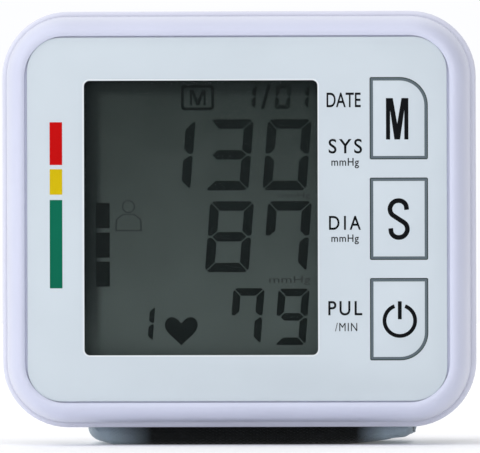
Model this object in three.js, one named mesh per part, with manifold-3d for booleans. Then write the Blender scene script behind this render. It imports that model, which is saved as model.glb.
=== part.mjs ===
// Wrist blood pressure monitor, standing on its closed cuff.
// X runs to the right of the face, Y from the face to the back, Z up. Millimetres.
import * as THREE from 'three';
import { mergeVertices } from 'three/addons/utils/BufferGeometryUtils.js';
import Module from 'manifold-3d';

// Case: two shells that meet at a parting line
const caseWidth = 85;
const caseHeight = 74.6;
const caseCorner = 11.8;
const caseLift = 3.2;
const partingY = 10;
const partingGap = 0.3;
const rimProud = 0.9;
const rimDepth = 2.5;
const rimEdge = 0.35;
const caseDepth = 24.5;
const taperXShare = 0.0765;
const taperZShare = 0.1743;
const wall = 2;
const frontWall = 2.4;
const bezelRound = 2.9;
const bezelDish = 0.9;
const lipHeight = 1.3;
const lipWall = 1.2;
const fit = 0.3;
const overrun = 1;

// Face film and the plate that carries it
const bezelX = 4.7;
const bezelZ = 4.5;
const filmCorner = 6.3;
const filmSink = 0.45;
const filmThickness = 0.45;
const filmGap = 0.2;
const glueGap = 0.1;
const plateThickness = 1.2;

// Display
const windowLeft = 10.45;
const windowRight = 23.35;
const windowTop = 8;
const windowBottom = 8.5;
const windowCorner = 1;
const lensFlange = 1.4;
const lensFlangeThickness = 0.5;
const sightMargin = 0.4;
const glassMargin = 2;
const glassThickness = 2;
const holderWall = 1.3;
const holderLip = 0.5;
const stripWidth = 1.8;
const stripInset = 1.2;

// Keys
const keyWidth = 10.1;
const keySpacing = 3.55;
const keySide = 3.8;
const keyEnd = 5.875;
const keyCorner = 0.5;
const keyArc = 4.9;
const keyGap = 0.15;
const keyTravel = 0.4;
const plungerInset = 0.6;
const plungerThickness = 0.9;
const switchSize = 6;
const switchHeight = 3;
const switchPin = 3.4;
const switchPinLength = 2.2;

// Circuit board and what is soldered to it
const boardRoomX = 1.2;
const boardRoomZ = 1;
const boardY = 6.5;
const boardThickness = 1.6;
const boardNotchX = 10.5;
const boardNotchZ = 7;
const standoffRadius = 2;
const standoffFromPost = 11;
const standoffInset = 4.5;
const chipSize = 12;
const chipHeight = 1.5;
const chipX = 2;
const chipZ = 16;
const buzzerRadius = 6;
const buzzerHeight = 3;
const buzzerInset = 0.9;
const buzzerFromPump = 3;
const sensorWidth = 9;
const sensorLength = 8;
const sensorHeight = 6;
const sensorZ = -22;

// Case screws
const postInsetX = 9.5;
const postInsetZ = 6.1;
const postRadius = 3;
const postFromBack = 11;
const screwRadius = 1.1;
const screwHeadRadius = 2.1;
const screwHeadHeight = 1.4;
const screwSink = 7.5;
const screwTipY = 6;

// Batteries and their bay
const cellRadius = 5.25;
const cellLength = 43.5;
const nubRadius = 1.9;
const nubLength = 1;
const cellInset = 10.8;
const cellPitch = 10.9;
const cellFromBack = 7.8;
const contactThickness = 0.4;
const contactWidth = 8.4;
const springLength = 3;
const springWire = 0.6;
const springTurns = 2.5;
const springOuter = 3.2;
const springInner = 1.8;
const bayRib = 1.2;
const bayFloor = 1;
const doorFrontY = 11.3;
const doorFromBack = 2.4;
const doorWrap = 7.5;
const doorHeight = 50;
const gripCount = 3;
const gripPitch = 1.8;
const gripRadius = 0.35;
const gripLength = 5;

// Air pump, valve and the tubes between them
const pumpInset = 16;
const pumpFromBack = 9;
const motorRadius = 7.6;
const motorFlat = 12;
const motorLength = 20;
const motorBaseZ = 2;
const headWidth = 19;
const headDepth = 12;
const headHeight = 15.4;
const crankRadius = 4.3;
const crankThickness = 2.5;
const crankChamber = 5;
const crankDrop = 3;
const crankThrow = 2.3;
const crankPin = 1.2;
const crankPinLength = 1.6;
const shaftRadius = 1;
const shaftInMotor = 14;
const airFromPump = 20.5;
const airDrop = 5;
const airFromBack = 9.5;
const manifoldSize = 7;
const nozzleRadius = 1;
const nozzleLength = 3;
const hoseBore = 1.3;
const hoseRadius = 2;
const valveWidth = 10;
const valveHeight = 14;
const valveRise = 11;
const plungerRadius = 2;
const plungerLength = 9;
const valveStroke = 0.8;
const nippleRadius = 2.4;
const nippleBore = 1.2;
const nippleReach = 2;

// Cuff: layers are counted inwards from the outside of the loop
const cuffInset = 12.4;
const cuffX = 1.6;
const loopInset = 1.3;
const loopReach = 22.5;
const floorCut = 0.5;
const cuffCorner = 12;
const coverThickness = 2;
const curlerThickness = 0.9;
const padThickness = 2.4;
const curlerMargin = 3.2;
const padMargin = 1.7;
const padCrown = 0.8;
const edgeRise = 2;
const leftLiftShare = 0.717;
const rightLiftShare = 0.228;
const edgeSoft = 0.5;
const seamDepth = 0.4;
const toeY = 16;
const toeRadius = 1.3;
const stubEndDegrees = 62;
const pileThickness = 0.8;
const flapThickness = 3.4;
const hookThickness = 0.9;
const hookMargin = 8.7;
const hookEndDegrees = 60;
const flapReach = 7.5;
const tabLength = 6;
const tabHalf = 12;
const tabThickness = 1.6;
const curlerEndAngle = 8;
const clampMarginX = 3.5;
const clampMarginZ = 2;
const clampThickness = 1;
const clampScrewInsetX = 31.5;
const clampScrewInsetZ = 26.3;
const clampScrewRadius = 0.9;
const clampHeadRadius = 1.9;
const clampHeadHeight = 0.8;
const clampPostRadius = 2.5;
const clampPostLength = 2.6;

// Places across a cuff layer as shares of its half width; the seam lies in the second from each edge
const acrossShares = [-1, -0.94, -0.89, -0.82, -0.72, 0, 0.3, 0.6, 0.8, 0.89, 0.94, 1];
const seamShare = 0.89;

// Where the swollen corner follows the rounding under the case, in degrees round it
const toeDegrees = [24, 42, 58, 74, 90];

// Facet counts
const arcSteps = 3;
const pinSides = 12;
const cellSides = 20;
const ridgeSides = 8;
const bezelRings = 6;
const taperRings = 6;
const rearSteps = 9;
const cornerSteps = 5;
const toeSteps = 8;
const stubSteps = 3;
const hoseSteps = 8;
const coilSteps = 8;
const coilSides = 5;

// Places worked out from the sizes above
const caseCentreZ = caseLift + caseHeight / 2;
const frontWidth = caseWidth - 2 * rimProud;
const frontHeight = caseHeight - 2 * rimProud;
const frontCorner = caseCorner - rimProud;
const frontEndY = partingY - partingGap / 2;
const rearStartY = partingY + partingGap / 2;
const filmWidth = caseWidth - 2 * bezelX;
const filmHeight = caseHeight - 2 * bezelZ;
const windowWidth = filmWidth - windowLeft - windowRight;
const windowHeight = filmHeight - windowTop - windowBottom;
const windowX = (windowLeft - windowRight) / 2;
const windowZ = (windowBottom - windowTop) / 2;
const keyX = filmWidth / 2 - keySide - keyWidth / 2;
const keyPitch = (filmHeight - 2 * keyEnd) / 3;
const keyHeight = keyPitch - keySpacing;
const filmBackY = filmSink + filmThickness;
const plateY = filmBackY + glueGap;
const plateBackY = plateY + plateThickness;
const cavityWidth = frontWidth - 2 * frontWall;
const cavityHeight = frontHeight - 2 * frontWall;
const cavityCorner = frontCorner - frontWall;
const boardWidth = cavityWidth - 2 * boardRoomX;
const boardHeight = cavityHeight - 2 * boardRoomZ;
const postX = caseWidth / 2 - postInsetX;
const postZ = caseHeight / 2 - postInsetZ;
const standoffX = postX - standoffFromPost;
const standoffZ = cavityHeight / 2 - standoffInset;
const cellOuterX = cellInset - caseWidth / 2;
const doorInnerX = doorWrap - caseWidth / 2;
const cellY = caseDepth - cellFromBack;
const doorBackY = caseDepth - doorFromBack;
const postEndY = caseDepth - postFromBack;
const screwSeatY = caseDepth - screwSink;
const buzzerZ = buzzerRadius + buzzerInset - boardHeight / 2;
const pumpX = caseWidth / 2 - pumpInset;
const pumpY = caseDepth - pumpFromBack;
const buzzerX = pumpX - buzzerFromPump;
const airY = caseDepth - airFromBack;
const airX = pumpX - airFromPump;
const airZ = motorBaseZ - airDrop;
const valveBaseZ = airZ + valveRise;
const taperX = taperXShare * caseWidth;
const taperZ = taperZShare * caseHeight;
const taperStartY = rearStartY + rimDepth;
const taperDepth = caseDepth - taperStartY;
const holderY = plateBackY + glueGap;
const glassY = holderY + holderLip + glueGap;
const boardBackY = boardY + boardThickness;
const partY = boardBackY + glueGap;
const flapEndY = caseDepth + flapReach;
const coverY = caseDepth + fit;
const cuffHalf = caseWidth / 2 - cuffInset;
const curlerHalf = cuffHalf - curlerMargin;
const padHalf = cuffHalf - padMargin;
const hookHalf = cuffHalf - hookMargin;
const leftLiftX = leftLiftShare * cuffHalf;
const rightLiftX = rightLiftShare * cuffHalf;
const clampScrewX = caseWidth / 2 - clampScrewInsetX;
const clampScrewZ = caseHeight / 2 - clampScrewInsetZ;
const clampHalfX = clampScrewX + clampMarginX;
const clampHalfZ = clampScrewZ + clampMarginZ;
const loopRadius = caseHeight / 2 - loopInset;
const loopCentreY = caseDepth + loopReach;
const loopCentreZ = loopRadius - floorCut;
const hookOuter = flapThickness + fit;
const pileRadius = loopRadius - hookOuter - hookThickness - fit;
const stubRadius = pileRadius - pileThickness - fit;
const stubTopZ = loopCentreZ + stubRadius;
const curlerInset = coverThickness + fit;
const padInset = curlerInset + curlerThickness + fit;

const wasm = await Module();
wasm.setup();

// A closed geometry as a solid that can be cut and joined
function toSolid(geometry) {
  const bare = geometry.clone();
  bare.deleteAttribute('normal');
  bare.deleteAttribute('uv');
  const merged = mergeVertices(bare);
  const vertProperties = merged.attributes.position.array;
  const triVerts = new Uint32Array(merged.index.array);
  return new wasm.Manifold(new wasm.Mesh({ numProp: 3, vertProperties, triVerts }));
}

function toGeometry(solid) {
  const mesh = solid.getMesh();
  const geometry = new THREE.BufferGeometry();
  geometry.setAttribute('position', new THREE.BufferAttribute(mesh.vertProperties, mesh.numProp));
  geometry.setIndex(new THREE.BufferAttribute(mesh.triVerts, 1));
  return geometry;
}

function join(base, ...others) {
  return toGeometry(others.reduce((solid, other) => solid.add(toSolid(other)), toSolid(base)));
}

function cut(base, ...tools) {
  return toGeometry(tools.reduce((solid, tool) => solid.subtract(toSolid(tool)), toSolid(base)));
}

function common(base, other) {
  return toGeometry(toSolid(base).intersect(toSolid(other)));
}

// A rectangle on the face with a radius of its own at each corner, from the top right, anticlockwise
function faceShape(width, height, radii, x = 0, z = 0) {
  const [topRight, topLeft, lowLeft, lowRight] = Array.isArray(radii) ? radii : Array(4).fill(radii);
  const right = x + width / 2;
  const left = x - width / 2;
  const top = z + height / 2;
  const low = z - height / 2;
  const quarter = Math.PI / 2;
  const shape = new THREE.Shape();
  shape.moveTo(right, low + lowRight);
  shape.absarc(right - topRight, top - topRight, topRight, 0, quarter);
  shape.absarc(left + topLeft, top - topLeft, topLeft, quarter, 2 * quarter);
  shape.absarc(left + lowLeft, low + lowLeft, lowLeft, 2 * quarter, 3 * quarter);
  shape.absarc(right - lowRight, low + lowRight, lowRight, 3 * quarter, 4 * quarter);
  return shape;
}

// A face shape given thickness from front to back
function slab(shape, front, back, curveSegments = arcSteps) {
  const options = { depth: back - front, bevelEnabled: false, curveSegments };
  return new THREE.ExtrudeGeometry(shape, options).rotateX(Math.PI / 2).translate(0, back, 0);
}

function block(left, right, front, back, low, high) {
  const geometry = new THREE.BoxGeometry(right - left, back - front, high - low);
  return geometry.translate((left + right) / 2, (front + back) / 2, (low + high) / 2);
}

// Round pins along each axis
function pinY(radius, front, back, x, z, sides = pinSides) {
  const geometry = new THREE.CylinderGeometry(radius, radius, back - front, sides);
  return geometry.translate(x, (front + back) / 2, z);
}

function pinZ(radius, low, high, x, y, sides = pinSides) {
  const geometry = new THREE.CylinderGeometry(radius, radius, high - low, sides);
  return geometry.rotateX(Math.PI / 2).translate(x, y, (low + high) / 2);
}

function pinX(radius, left, right, y, z, sides = pinSides) {
  const geometry = new THREE.CylinderGeometry(radius, radius, right - left, sides);
  return geometry.rotateZ(Math.PI / 2).translate((left + right) / 2, y, z);
}

// A closed body through rings of equal point count, from the first ring to the last
function ringBody(rings) {
  const count = rings[0].length;
  const points = rings.flat();
  const faces = [];
  for (let ring = 0; ring + 1 < rings.length; ring++) {
    for (let i = 0; i < count; i++) {
      const next = (i + 1) % count;
      const a = ring * count + i;
      const b = ring * count + next;
      faces.push(a, a + count, b, b, a + count, b + count);
    }
  }
  const lastStart = (rings.length - 1) * count;
  const ends = [rings[0], rings[rings.length - 1]];
  const centres = ends.map((ring) => {
    const sum = ring.reduce((total, point) => total.add(point), new THREE.Vector3());
    return sum.divideScalar(count);
  });
  const firstCentre = points.length;
  for (let i = 0; i < count; i++) {
    const next = (i + 1) % count;
    faces.push(firstCentre, i, next);
    faces.push(firstCentre + 1, lastStart + next, lastStart + i);
  }
  const geometry = new THREE.BufferGeometry().setFromPoints([...points, ...centres]);
  geometry.setIndex(faces);
  return toSolid(geometry).volume() < 0 ? turnedOut(geometry) : geometry;
}

function turnedOut(geometry) {
  const faces = Array.from(geometry.index.array);
  for (let i = 0; i < faces.length; i += 3) {
    [faces[i + 1], faces[i + 2]] = [faces[i + 2], faces[i + 1]];
  }
  geometry.setIndex(faces);
  return geometry;
}

function caseRing(width, height, corner, y) {
  const outline = faceShape(width, height, corner).getPoints(arcSteps);
  const closed = outline[0].distanceTo(outline[outline.length - 1]) < glueGap;
  const points = closed ? outline.slice(0, -1) : outline;
  return points.map((point) => new THREE.Vector3(point.x, y, point.y));
}

// The bezel curves from the parting line to its crown and dips to the film
function frontForm() {
  const inset = (amount, y) =>
    caseRing(frontWidth - 2 * amount, frontHeight - 2 * amount, frontCorner - amount, y);
  const rings = [inset(bezelRound + bezelDish, filmSink), inset(bezelRound + bezelDish / 2, filmSink / 4)];
  for (let step = 0; step <= bezelRings; step++) {
    const angle = (Math.PI / 2) * (1 - step / bezelRings);
    rings.push(inset(bezelRound * (1 - Math.cos(angle)), frontEndY * (1 - Math.sin(angle))));
  }
  return ringBody(rings);
}

function rearRing(offset, angle) {
  const slope = 1 - Math.cos(angle);
  const width = caseWidth - 2 * (offset + taperX * slope);
  const height = caseHeight - 2 * (offset + taperZ * slope);
  return caseRing(width, height, caseCorner - offset, taperStartY + (taperDepth - offset) * Math.sin(angle));
}

// The rear shell's form, or its hollow when offset by the wall
function rearForm(offset, startY, edge) {
  const edged = caseRing(caseWidth - 2 * (offset + edge), caseHeight - 2 * (offset + edge),
    caseCorner - offset - edge, startY);
  const straight = caseRing(caseWidth - 2 * offset, caseHeight - 2 * offset, caseCorner - offset,
    rearStartY + rimEdge);
  const rings = [edged, straight];
  for (let step = 0; step <= taperRings; step++) {
    rings.push(rearRing(offset, (Math.PI / 2) * (step / taperRings)));
  }
  return ringBody(rings);
}

const corners = [
  [1, 1],
  [-1, 1],
  [-1, -1],
  [1, -1],
];

const keys = [
  { name: 'memory', z: keyPitch, radii: [keyArc, keyCorner, keyCorner, keyCorner] },
  { name: 'set', z: 0, radii: keyCorner },
  { name: 'power', z: -keyPitch, radii: [keyCorner, keyCorner, keyCorner, keyArc] },
];

function keyShape(key, margin) {
  const grow = (radius) => Math.max(radius + margin, glueGap);
  const radii = Array.isArray(key.radii) ? key.radii.map(grow) : grow(key.radii);
  return faceShape(keyWidth + 2 * margin, keyHeight + 2 * margin, radii, keyX, key.z);
}

const colours = {
  case: 0xd9daea,
  film: 0xd2dbe0,
  lens: 0x9aa3a2,
  glass: 0x4a4e50,
  white: 0xe8e8e6,
  dark: 0x26282b,
  board: 0x1f6b45,
  metal: 0xb9bcc0,
  steel: 0x8d9196,
  brass: 0xc2a45a,
  rubber: 0x3a3c3f,
  hose: 0xc9c9c4,
  cell: 0x2f6a9a,
  fabric: 0x101614,
  lining: 0x5a6a73,
  pile: 0x2a3033,
};

const monitor = new THREE.Group();
const housing = new THREE.Group();
housing.position.z = caseCentreZ;
monitor.add(housing);

function place(group, name, geometry, color, roughness = 0.5, metalness = 0) {
  geometry.computeVertexNormals();
  const material = new THREE.MeshStandardMaterial({ color, roughness, metalness });
  const mesh = new THREE.Mesh(geometry, material);
  mesh.name = name;
  group.add(mesh);
}

// Front shell: bezel, plate under the film, screw posts and board standoffs
function frontCover() {
  const hollow = slab(faceShape(cavityWidth, cavityHeight, cavityCorner), plateBackY, partingY + overrun);
  const pocket = faceShape(filmWidth + 2 * filmGap, filmHeight + 2 * filmGap, filmCorner + filmGap);
  const sight = faceShape(windowWidth + 2 * sightMargin, windowHeight + 2 * sightMargin, windowCorner,
    windowX, windowZ);
  const flange = 2 * (lensFlange + filmGap);
  const rebate = faceShape(windowWidth + flange, windowHeight + flange, windowCorner, windowX, windowZ);
  const shell = cut(frontForm(), hollow,
    slab(pocket, -overrun, plateY),
    slab(sight, 0, plateBackY + overrun),
    slab(rebate, 0, plateY + lensFlangeThickness + glueGap),
    ...keys.map((key) => slab(keyShape(key, fit), 0, plateBackY + overrun, arcSteps)));
  const postFront = plateY + glueGap;
  const inside = slab(faceShape(cavityWidth + wall, cavityHeight + wall, cavityCorner), postFront, postEndY);
  const posts = corners.map(([sx, sz]) => pinY(postRadius, postFront, postEndY, sx * postX, sz * postZ));
  const standoffs = [1, -1].map((sz) =>
    pinY(standoffRadius, postFront, boardY - glueGap, standoffX, sz * standoffZ));
  const trimmed = common(join(posts[0], ...posts.slice(1), ...standoffs), inside);
  const holes = corners.map(([sx, sz]) =>
    pinY(screwRadius + glueGap, screwTipY - overrun, postEndY + overrun, sx * postX, sz * postZ));
  return cut(join(shell, trimmed), ...holes);
}

// Rear shell, its lip, battery bay, screw seats and the posts for the cuff clamp
const bayHalf = (cellLength + nubLength + springLength + 2 * contactThickness + 4 * glueGap) / 2;
const bayInnerX = cellOuterX + cellPitch + cellRadius + fit;
const clampScrews = [
  [cuffX - clampScrewX, clampScrewZ],
  [cuffX + clampScrewX, -clampScrewZ],
];

function doorBlock(margin) {
  return block(-caseWidth, doorInnerX - margin, doorFrontY + margin, doorBackY - margin,
    -doorHeight / 2 + margin, doorHeight / 2 - margin);
}

function rearShell() {
  return cut(rearForm(0, rearStartY, rimEdge), rearForm(wall, rearStartY - overrun, 0));
}

function rearCover() {
  const lipWidth = cavityWidth - 2 * fit;
  const lipOuterHeight = cavityHeight - 2 * fit;
  const lipCorner = cavityCorner - fit;
  const root = slab(faceShape(caseWidth - wall, caseHeight - wall, caseCorner - wall / 2), rearStartY,
    rearStartY + lipWall);
  const tongue = slab(faceShape(lipWidth, lipOuterHeight, lipCorner), rearStartY - lipHeight,
    rearStartY + lipWall / 2);
  const mouth = slab(faceShape(lipWidth - 2 * lipWall, lipOuterHeight - 2 * lipWall, lipCorner - lipWall),
    -overrun, rearStartY + lipWall + overrun);
  const postHoles = corners.map(([sx, sz]) =>
    pinY(postRadius + fit, 0, postEndY + fit, sx * postX, sz * postZ));
  const ring = cut(join(root, tongue), mouth, ...postHoles);

  const bayBack = caseDepth - wall / 2;
  const bayLeft = -caseWidth / 2;
  const bayRight = bayInnerX + bayRib;
  const bayEnd = bayHalf + bayRib;
  const ribs = [
    block(bayInnerX, bayRight, rearStartY, bayBack, -bayEnd, bayEnd),
    block(bayLeft, bayRight, rearStartY, bayBack, bayHalf, bayEnd),
    block(bayLeft, bayRight, rearStartY, bayBack, -bayEnd, -bayHalf),
    block(bayLeft, bayRight, rearStartY, rearStartY + bayFloor, -bayEnd, bayEnd),
  ];
  const seats = corners.map(([sx, sz]) => pinY(postRadius, postEndY + fit, bayBack, sx * postX, sz * postZ));
  const clampPosts = clampScrews.map(([x, z]) =>
    pinY(clampPostRadius, caseDepth - wall - clampPostLength, bayBack, x, z));
  const fittings = common(join(ribs[0], ...ribs.slice(1), ...seats, ...clampPosts),
    rearForm(wall / 2, rearStartY, 0));

  const clearHole = screwRadius + fit;
  const headHole = screwHeadRadius + fit;
  const holes = corners.flatMap(([sx, sz]) => [
    pinY(clearHole, rearStartY, caseDepth, sx * postX, sz * postZ),
    pinY(headHole, screwSeatY, caseDepth + overrun, sx * postX, sz * postZ),
  ]);
  const clampHoleY = caseDepth - wall - clampPostLength + glueGap;
  const clampHoles = clampScrews.map(([x, z]) =>
    pinY(clampScrewRadius + glueGap, clampHoleY, caseDepth + overrun, x, z));
  const nippleHole = pinY(nippleRadius + fit, caseDepth - 2 * wall, caseDepth + overrun, airX, airZ);
  return cut(join(rearShell(), ring, fittings), doorBlock(0), ...holes, ...clampHoles, nippleHole);
}

// Door over the battery bay, with grip ridges for a thumb
function batteryDoor() {
  const panel = common(rearShell(), doorBlock(fit / 2));
  const ridgeY = (doorFrontY + doorBackY) / 2 - gripLength / 2;
  const ridgeX = -caseWidth / 2 + gripRadius;
  const ridges = Array.from({ length: gripCount }, (_, index) =>
    pinY(gripRadius, ridgeY, ridgeY + gripLength, ridgeX + gripRadius, (index - 1) * gripPitch, ridgeSides));
  return join(panel, ...ridges);
}

function faceFilm() {
  const sheet = slab(faceShape(filmWidth, filmHeight, filmCorner), filmSink, filmBackY, 2 * arcSteps);
  const pane = faceShape(windowWidth, windowHeight, windowCorner, windowX, windowZ);
  const holes = keys.map((key) => slab(keyShape(key, keyGap), 0, plateY, 2 * arcSteps));
  return cut(sheet, slab(pane, 0, plateY), ...holes);
}

// Clear lens: flush with the film in front, held behind it by a flange
function displayWindow() {
  const shown = faceShape(windowWidth - 2 * glueGap, windowHeight - 2 * glueGap, windowCorner - glueGap,
    windowX, windowZ);
  const flange = faceShape(windowWidth + 2 * lensFlange, windowHeight + 2 * lensFlange, windowCorner,
    windowX, windowZ);
  return join(slab(shown, filmSink, plateY + lensFlangeThickness / 2),
    slab(flange, plateY, plateY + lensFlangeThickness));
}

function lcdHolder() {
  const inner = 2 * (glassMargin + glueGap);
  const outer = inner + 2 * holderWall;
  const body = faceShape(windowWidth + outer, windowHeight + outer, windowCorner, windowX, windowZ);
  const pocket = faceShape(windowWidth + inner, windowHeight + inner, glueGap, windowX, windowZ);
  const sight = faceShape(windowWidth + 2 * sightMargin, windowHeight + 2 * sightMargin, glueGap,
    windowX, windowZ);
  return cut(slab(body, holderY, boardY - glueGap),
    slab(sight, 0, boardY), slab(pocket, glassY - glueGap, boardY + overrun));
}

function lcdGlass() {
  const shape = faceShape(windowWidth + 2 * glassMargin, windowHeight + 2 * glassMargin, glueGap,
    windowX, windowZ);
  return slab(shape, glassY, glassY + glassThickness);
}

function contactStrip() {
  const low = windowZ - windowHeight / 2 - glassMargin + stripInset / 2;
  return block(windowX - windowWidth / 2, windowX + windowWidth / 2, glassY + glassThickness + glueGap,
    boardY - glueGap, low, low + stripWidth);
}

function mainBoard() {
  const board = slab(faceShape(boardWidth, boardHeight, windowCorner), boardY, boardBackY, 1);
  const notches = corners.map(([sx, sz]) => {
    const x = (sx * (boardWidth - boardNotchX)) / 2;
    const z = (sz * (boardHeight - boardNotchZ)) / 2;
    return slab(faceShape(boardNotchX + glueGap, boardNotchZ + glueGap, glueGap, x, z), 0, caseDepth, 1);
  });
  return cut(board, ...notches);
}

function keyCap(key) {
  return slab(keyShape(key, 0), filmSink, filmBackY);
}

function keyPlunger(key) {
  return slab(keyShape(key, -plungerInset), filmBackY + glueGap, filmBackY + glueGap + plungerThickness);
}

const switchBackY = boardY - glueGap;
const switchPinY = filmBackY + 2 * glueGap + plungerThickness;

function switchBody(key) {
  const half = switchSize / 2;
  const body = block(keyX - half, keyX + half, switchBackY - switchHeight, switchBackY, key.z - half,
    key.z + half);
  const bore = pinY(switchPin / 2 + glueGap, switchBackY - switchHeight - overrun,
    switchPinY + switchPinLength + keyTravel + glueGap, keyX, key.z);
  return cut(body, bore);
}

function switchButton(key) {
  return pinY(switchPin / 2, switchPinY, switchPinY + switchPinLength, keyX, key.z);
}

function controllerChip() {
  const half = chipSize / 2;
  return slab(faceShape(chipSize, chipSize, half / 6, chipX, chipZ), partY, partY + chipHeight, 1);
}

function pressureSensor() {
  const half = sensorWidth / 2;
  const high = sensorZ + sensorLength / 2;
  const body = block(airX - half, airX + half, partY, partY + sensorHeight, sensorZ - sensorLength / 2, high);
  const nozzle = pinZ(nozzleRadius, high - overrun, high + nozzleLength, airX, partY + sensorHeight / 2);
  return join(body, nozzle);
}

// Pump: flat-sided motor can, shaft with an eccentric crank, and the diaphragm head below
function pumpMotor() {
  const flatAngle = Math.asin(motorFlat / 2 / motorRadius);
  const outline = new THREE.Shape();
  outline.absarc(0, 0, motorRadius, -flatAngle, flatAngle);
  outline.absarc(0, 0, motorRadius, Math.PI - flatAngle, Math.PI + flatAngle);
  outline.closePath();
  const options = { depth: motorLength, bevelEnabled: false, curveSegments: 2 * arcSteps };
  const can = new THREE.ExtrudeGeometry(outline, options).translate(pumpX, pumpY, motorBaseZ);
  const bore = pinZ(shaftRadius + fit, motorBaseZ - overrun, motorBaseZ + shaftInMotor + fit, pumpX, pumpY);
  return cut(can, bore);
}

const headTopZ = motorBaseZ - fit;
const crankTopZ = headTopZ - crankDrop;

function pumpHead() {
  const half = headWidth / 2;
  const body = block(pumpX - half, pumpX + half, pumpY - headDepth / 2, pumpY + headDepth / 2,
    headTopZ - headHeight, headTopZ);
  const depth = crankDrop + crankThickness + crankPinLength + 2 * fit;
  const chamber = pinZ(crankChamber, headTopZ - depth, headTopZ + overrun, pumpX, pumpY);
  const nozzle = pinX(nozzleRadius, pumpX - half - nozzleLength, pumpX - half + overrun, airY, airZ);
  return cut(join(body, nozzle), chamber);
}

function pumpCrank() {
  const shaft = pinZ(shaftRadius, crankTopZ - crankThickness / 2, motorBaseZ + shaftInMotor, pumpX, pumpY);
  const disc = pinZ(crankRadius, crankTopZ - crankThickness, crankTopZ, pumpX, pumpY);
  const low = crankTopZ - crankThickness - crankPinLength;
  const pin = pinZ(crankPin, low, crankTopZ - crankThickness / 2, pumpX + crankThrow, pumpY);
  return join(disc, shaft, pin);
}

function exhaustValve() {
  const half = valveWidth / 2;
  const top = valveBaseZ + valveHeight;
  const body = block(airX - half, airX + half, airY - half, airY + half, valveBaseZ, top);
  const nozzle = pinZ(nozzleRadius, valveBaseZ - nozzleLength, valveBaseZ + overrun, airX, airY);
  const bore = pinZ(plungerRadius + fit, top - plungerLength, top + overrun, airX, airY);
  return cut(join(body, nozzle), bore);
}

function valvePlunger() {
  const top = valveBaseZ + valveHeight;
  const lift = fit + valveStroke;
  return pinZ(plungerRadius, top - plungerLength + lift, top + lift, airX, airY);
}

function airManifold() {
  const half = manifoldSize / 2;
  const body = block(airX - half, airX + half, airY - half, airY + half, airZ - half, airZ + half);
  const tipX = airX + half + nozzleLength;
  return join(body,
    pinX(nozzleRadius, airX, tipX, airY, airZ),
    pinZ(nozzleRadius, airZ, airZ + half + nozzleLength, airX, airY),
    pinZ(nozzleRadius, airZ - half - nozzleLength, airZ, airX, airY));
}

// A soft tube slipped over the nozzles at both ends
function hose(from, leaving, arriving, to) {
  const section = new THREE.Shape().absarc(0, 0, hoseRadius, 0, 2 * Math.PI);
  section.holes.push(new THREE.Path().absarc(0, 0, hoseBore, 0, 2 * Math.PI, true));
  const path = new THREE.CatmullRomCurve3([from, leaving, arriving, to]);
  const options = { steps: hoseSteps, curveSegments: arcSteps, extrudePath: path };
  return new THREE.ExtrudeGeometry(section, options);
}

function hoses() {
  const half = manifoldSize / 2;
  const point = (x, y, z) => new THREE.Vector3(x, y, z);
  const headSide = pumpX - headWidth / 2 - fit;
  const manifoldSide = airX + half + fit;
  const sensorTop = sensorZ + sensorLength / 2 + fit;
  const sensorY = partY + sensorHeight / 2;
  const low = airZ - half - fit;
  return {
    pump_hose: hose(point(manifoldSide, airY, airZ), point(manifoldSide + nozzleLength, airY, airZ),
      point(headSide - nozzleLength, airY, airZ), point(headSide, airY, airZ)),
    valve_hose: hose(point(airX, airY, airZ + half + fit), point(airX, airY, airZ + half + nozzleLength),
      point(airX, airY, valveBaseZ - nozzleLength), point(airX, airY, valveBaseZ - fit)),
    sensor_hose: hose(point(airX, sensorY, sensorTop), point(airX, sensorY, sensorTop + nozzleLength),
      point(airX, airY, low - nozzleLength), point(airX, airY, low)),
  };
}

function airNipple() {
  const startY = airY + manifoldSize / 2 + glueGap;
  const endY = coverY + padInset + clampThickness + nippleReach;
  const tube = pinY(nippleRadius, startY, endY, airX, airZ);
  return cut(tube, pinY(nippleBore, startY - overrun, endY + overrun, airX, airZ));
}

// Cells, contacts and coil springs; the two cells point opposite ways
function batteryCell(x, sign) {
  const nubEnd = sign * (bayHalf - contactThickness - 2 * glueGap);
  const shoulder = nubEnd - sign * nubLength;
  const base = shoulder - sign * cellLength;
  const span = (a, b) => [Math.min(a, b), Math.max(a, b)];
  const body = pinZ(cellRadius, ...span(base, shoulder), x, cellY, cellSides);
  return join(body, pinZ(nubRadius, ...span(shoulder - sign * nubLength, nubEnd), x, cellY));
}

function contactPlate(sign, left, right) {
  const outer = sign * (bayHalf - glueGap);
  const inner = outer - sign * contactThickness;
  const half = contactWidth / 2;
  return block(left, right, cellY - half, cellY + half, Math.min(inner, outer), Math.max(inner, outer));
}

class ConeCoil extends THREE.Curve {
  constructor(x, startZ, endZ) {
    super();
    Object.assign(this, { x, startZ, endZ });
  }

  getPoint(share, target = new THREE.Vector3()) {
    const angle = share * springTurns * 2 * Math.PI;
    const radius = springOuter + (springInner - springOuter) * share;
    const z = this.startZ + (this.endZ - this.startZ) * share;
    return target.set(this.x + radius * Math.cos(angle), cellY + radius * Math.sin(angle), z);
  }
}

function contactSpring(x, sign) {
  const plate = sign * (bayHalf - glueGap - contactThickness);
  const start = plate - sign * (springWire / 2 + glueGap);
  const end = plate - sign * (springLength - springWire / 2);
  const wire = new THREE.Shape().absarc(0, 0, springWire / 2, 0, 2 * Math.PI);
  const steps = Math.round(springTurns * coilSteps);
  const path = new ConeCoil(x, start, end);
  const options = { steps, curveSegments: Math.ceil(coilSides / 2), extrudePath: path };
  return new THREE.ExtrudeGeometry(wire, options);
}

// A screw with its head towards the back
function screwAt(x, z, shankRadius, headRadius, headHeight, tipY, seatY) {
  return join(pinY(shankRadius, tipY, seatY + headHeight / 2, x, z),
    pinY(headRadius, seatY, seatY + headHeight, x, z));
}

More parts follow.
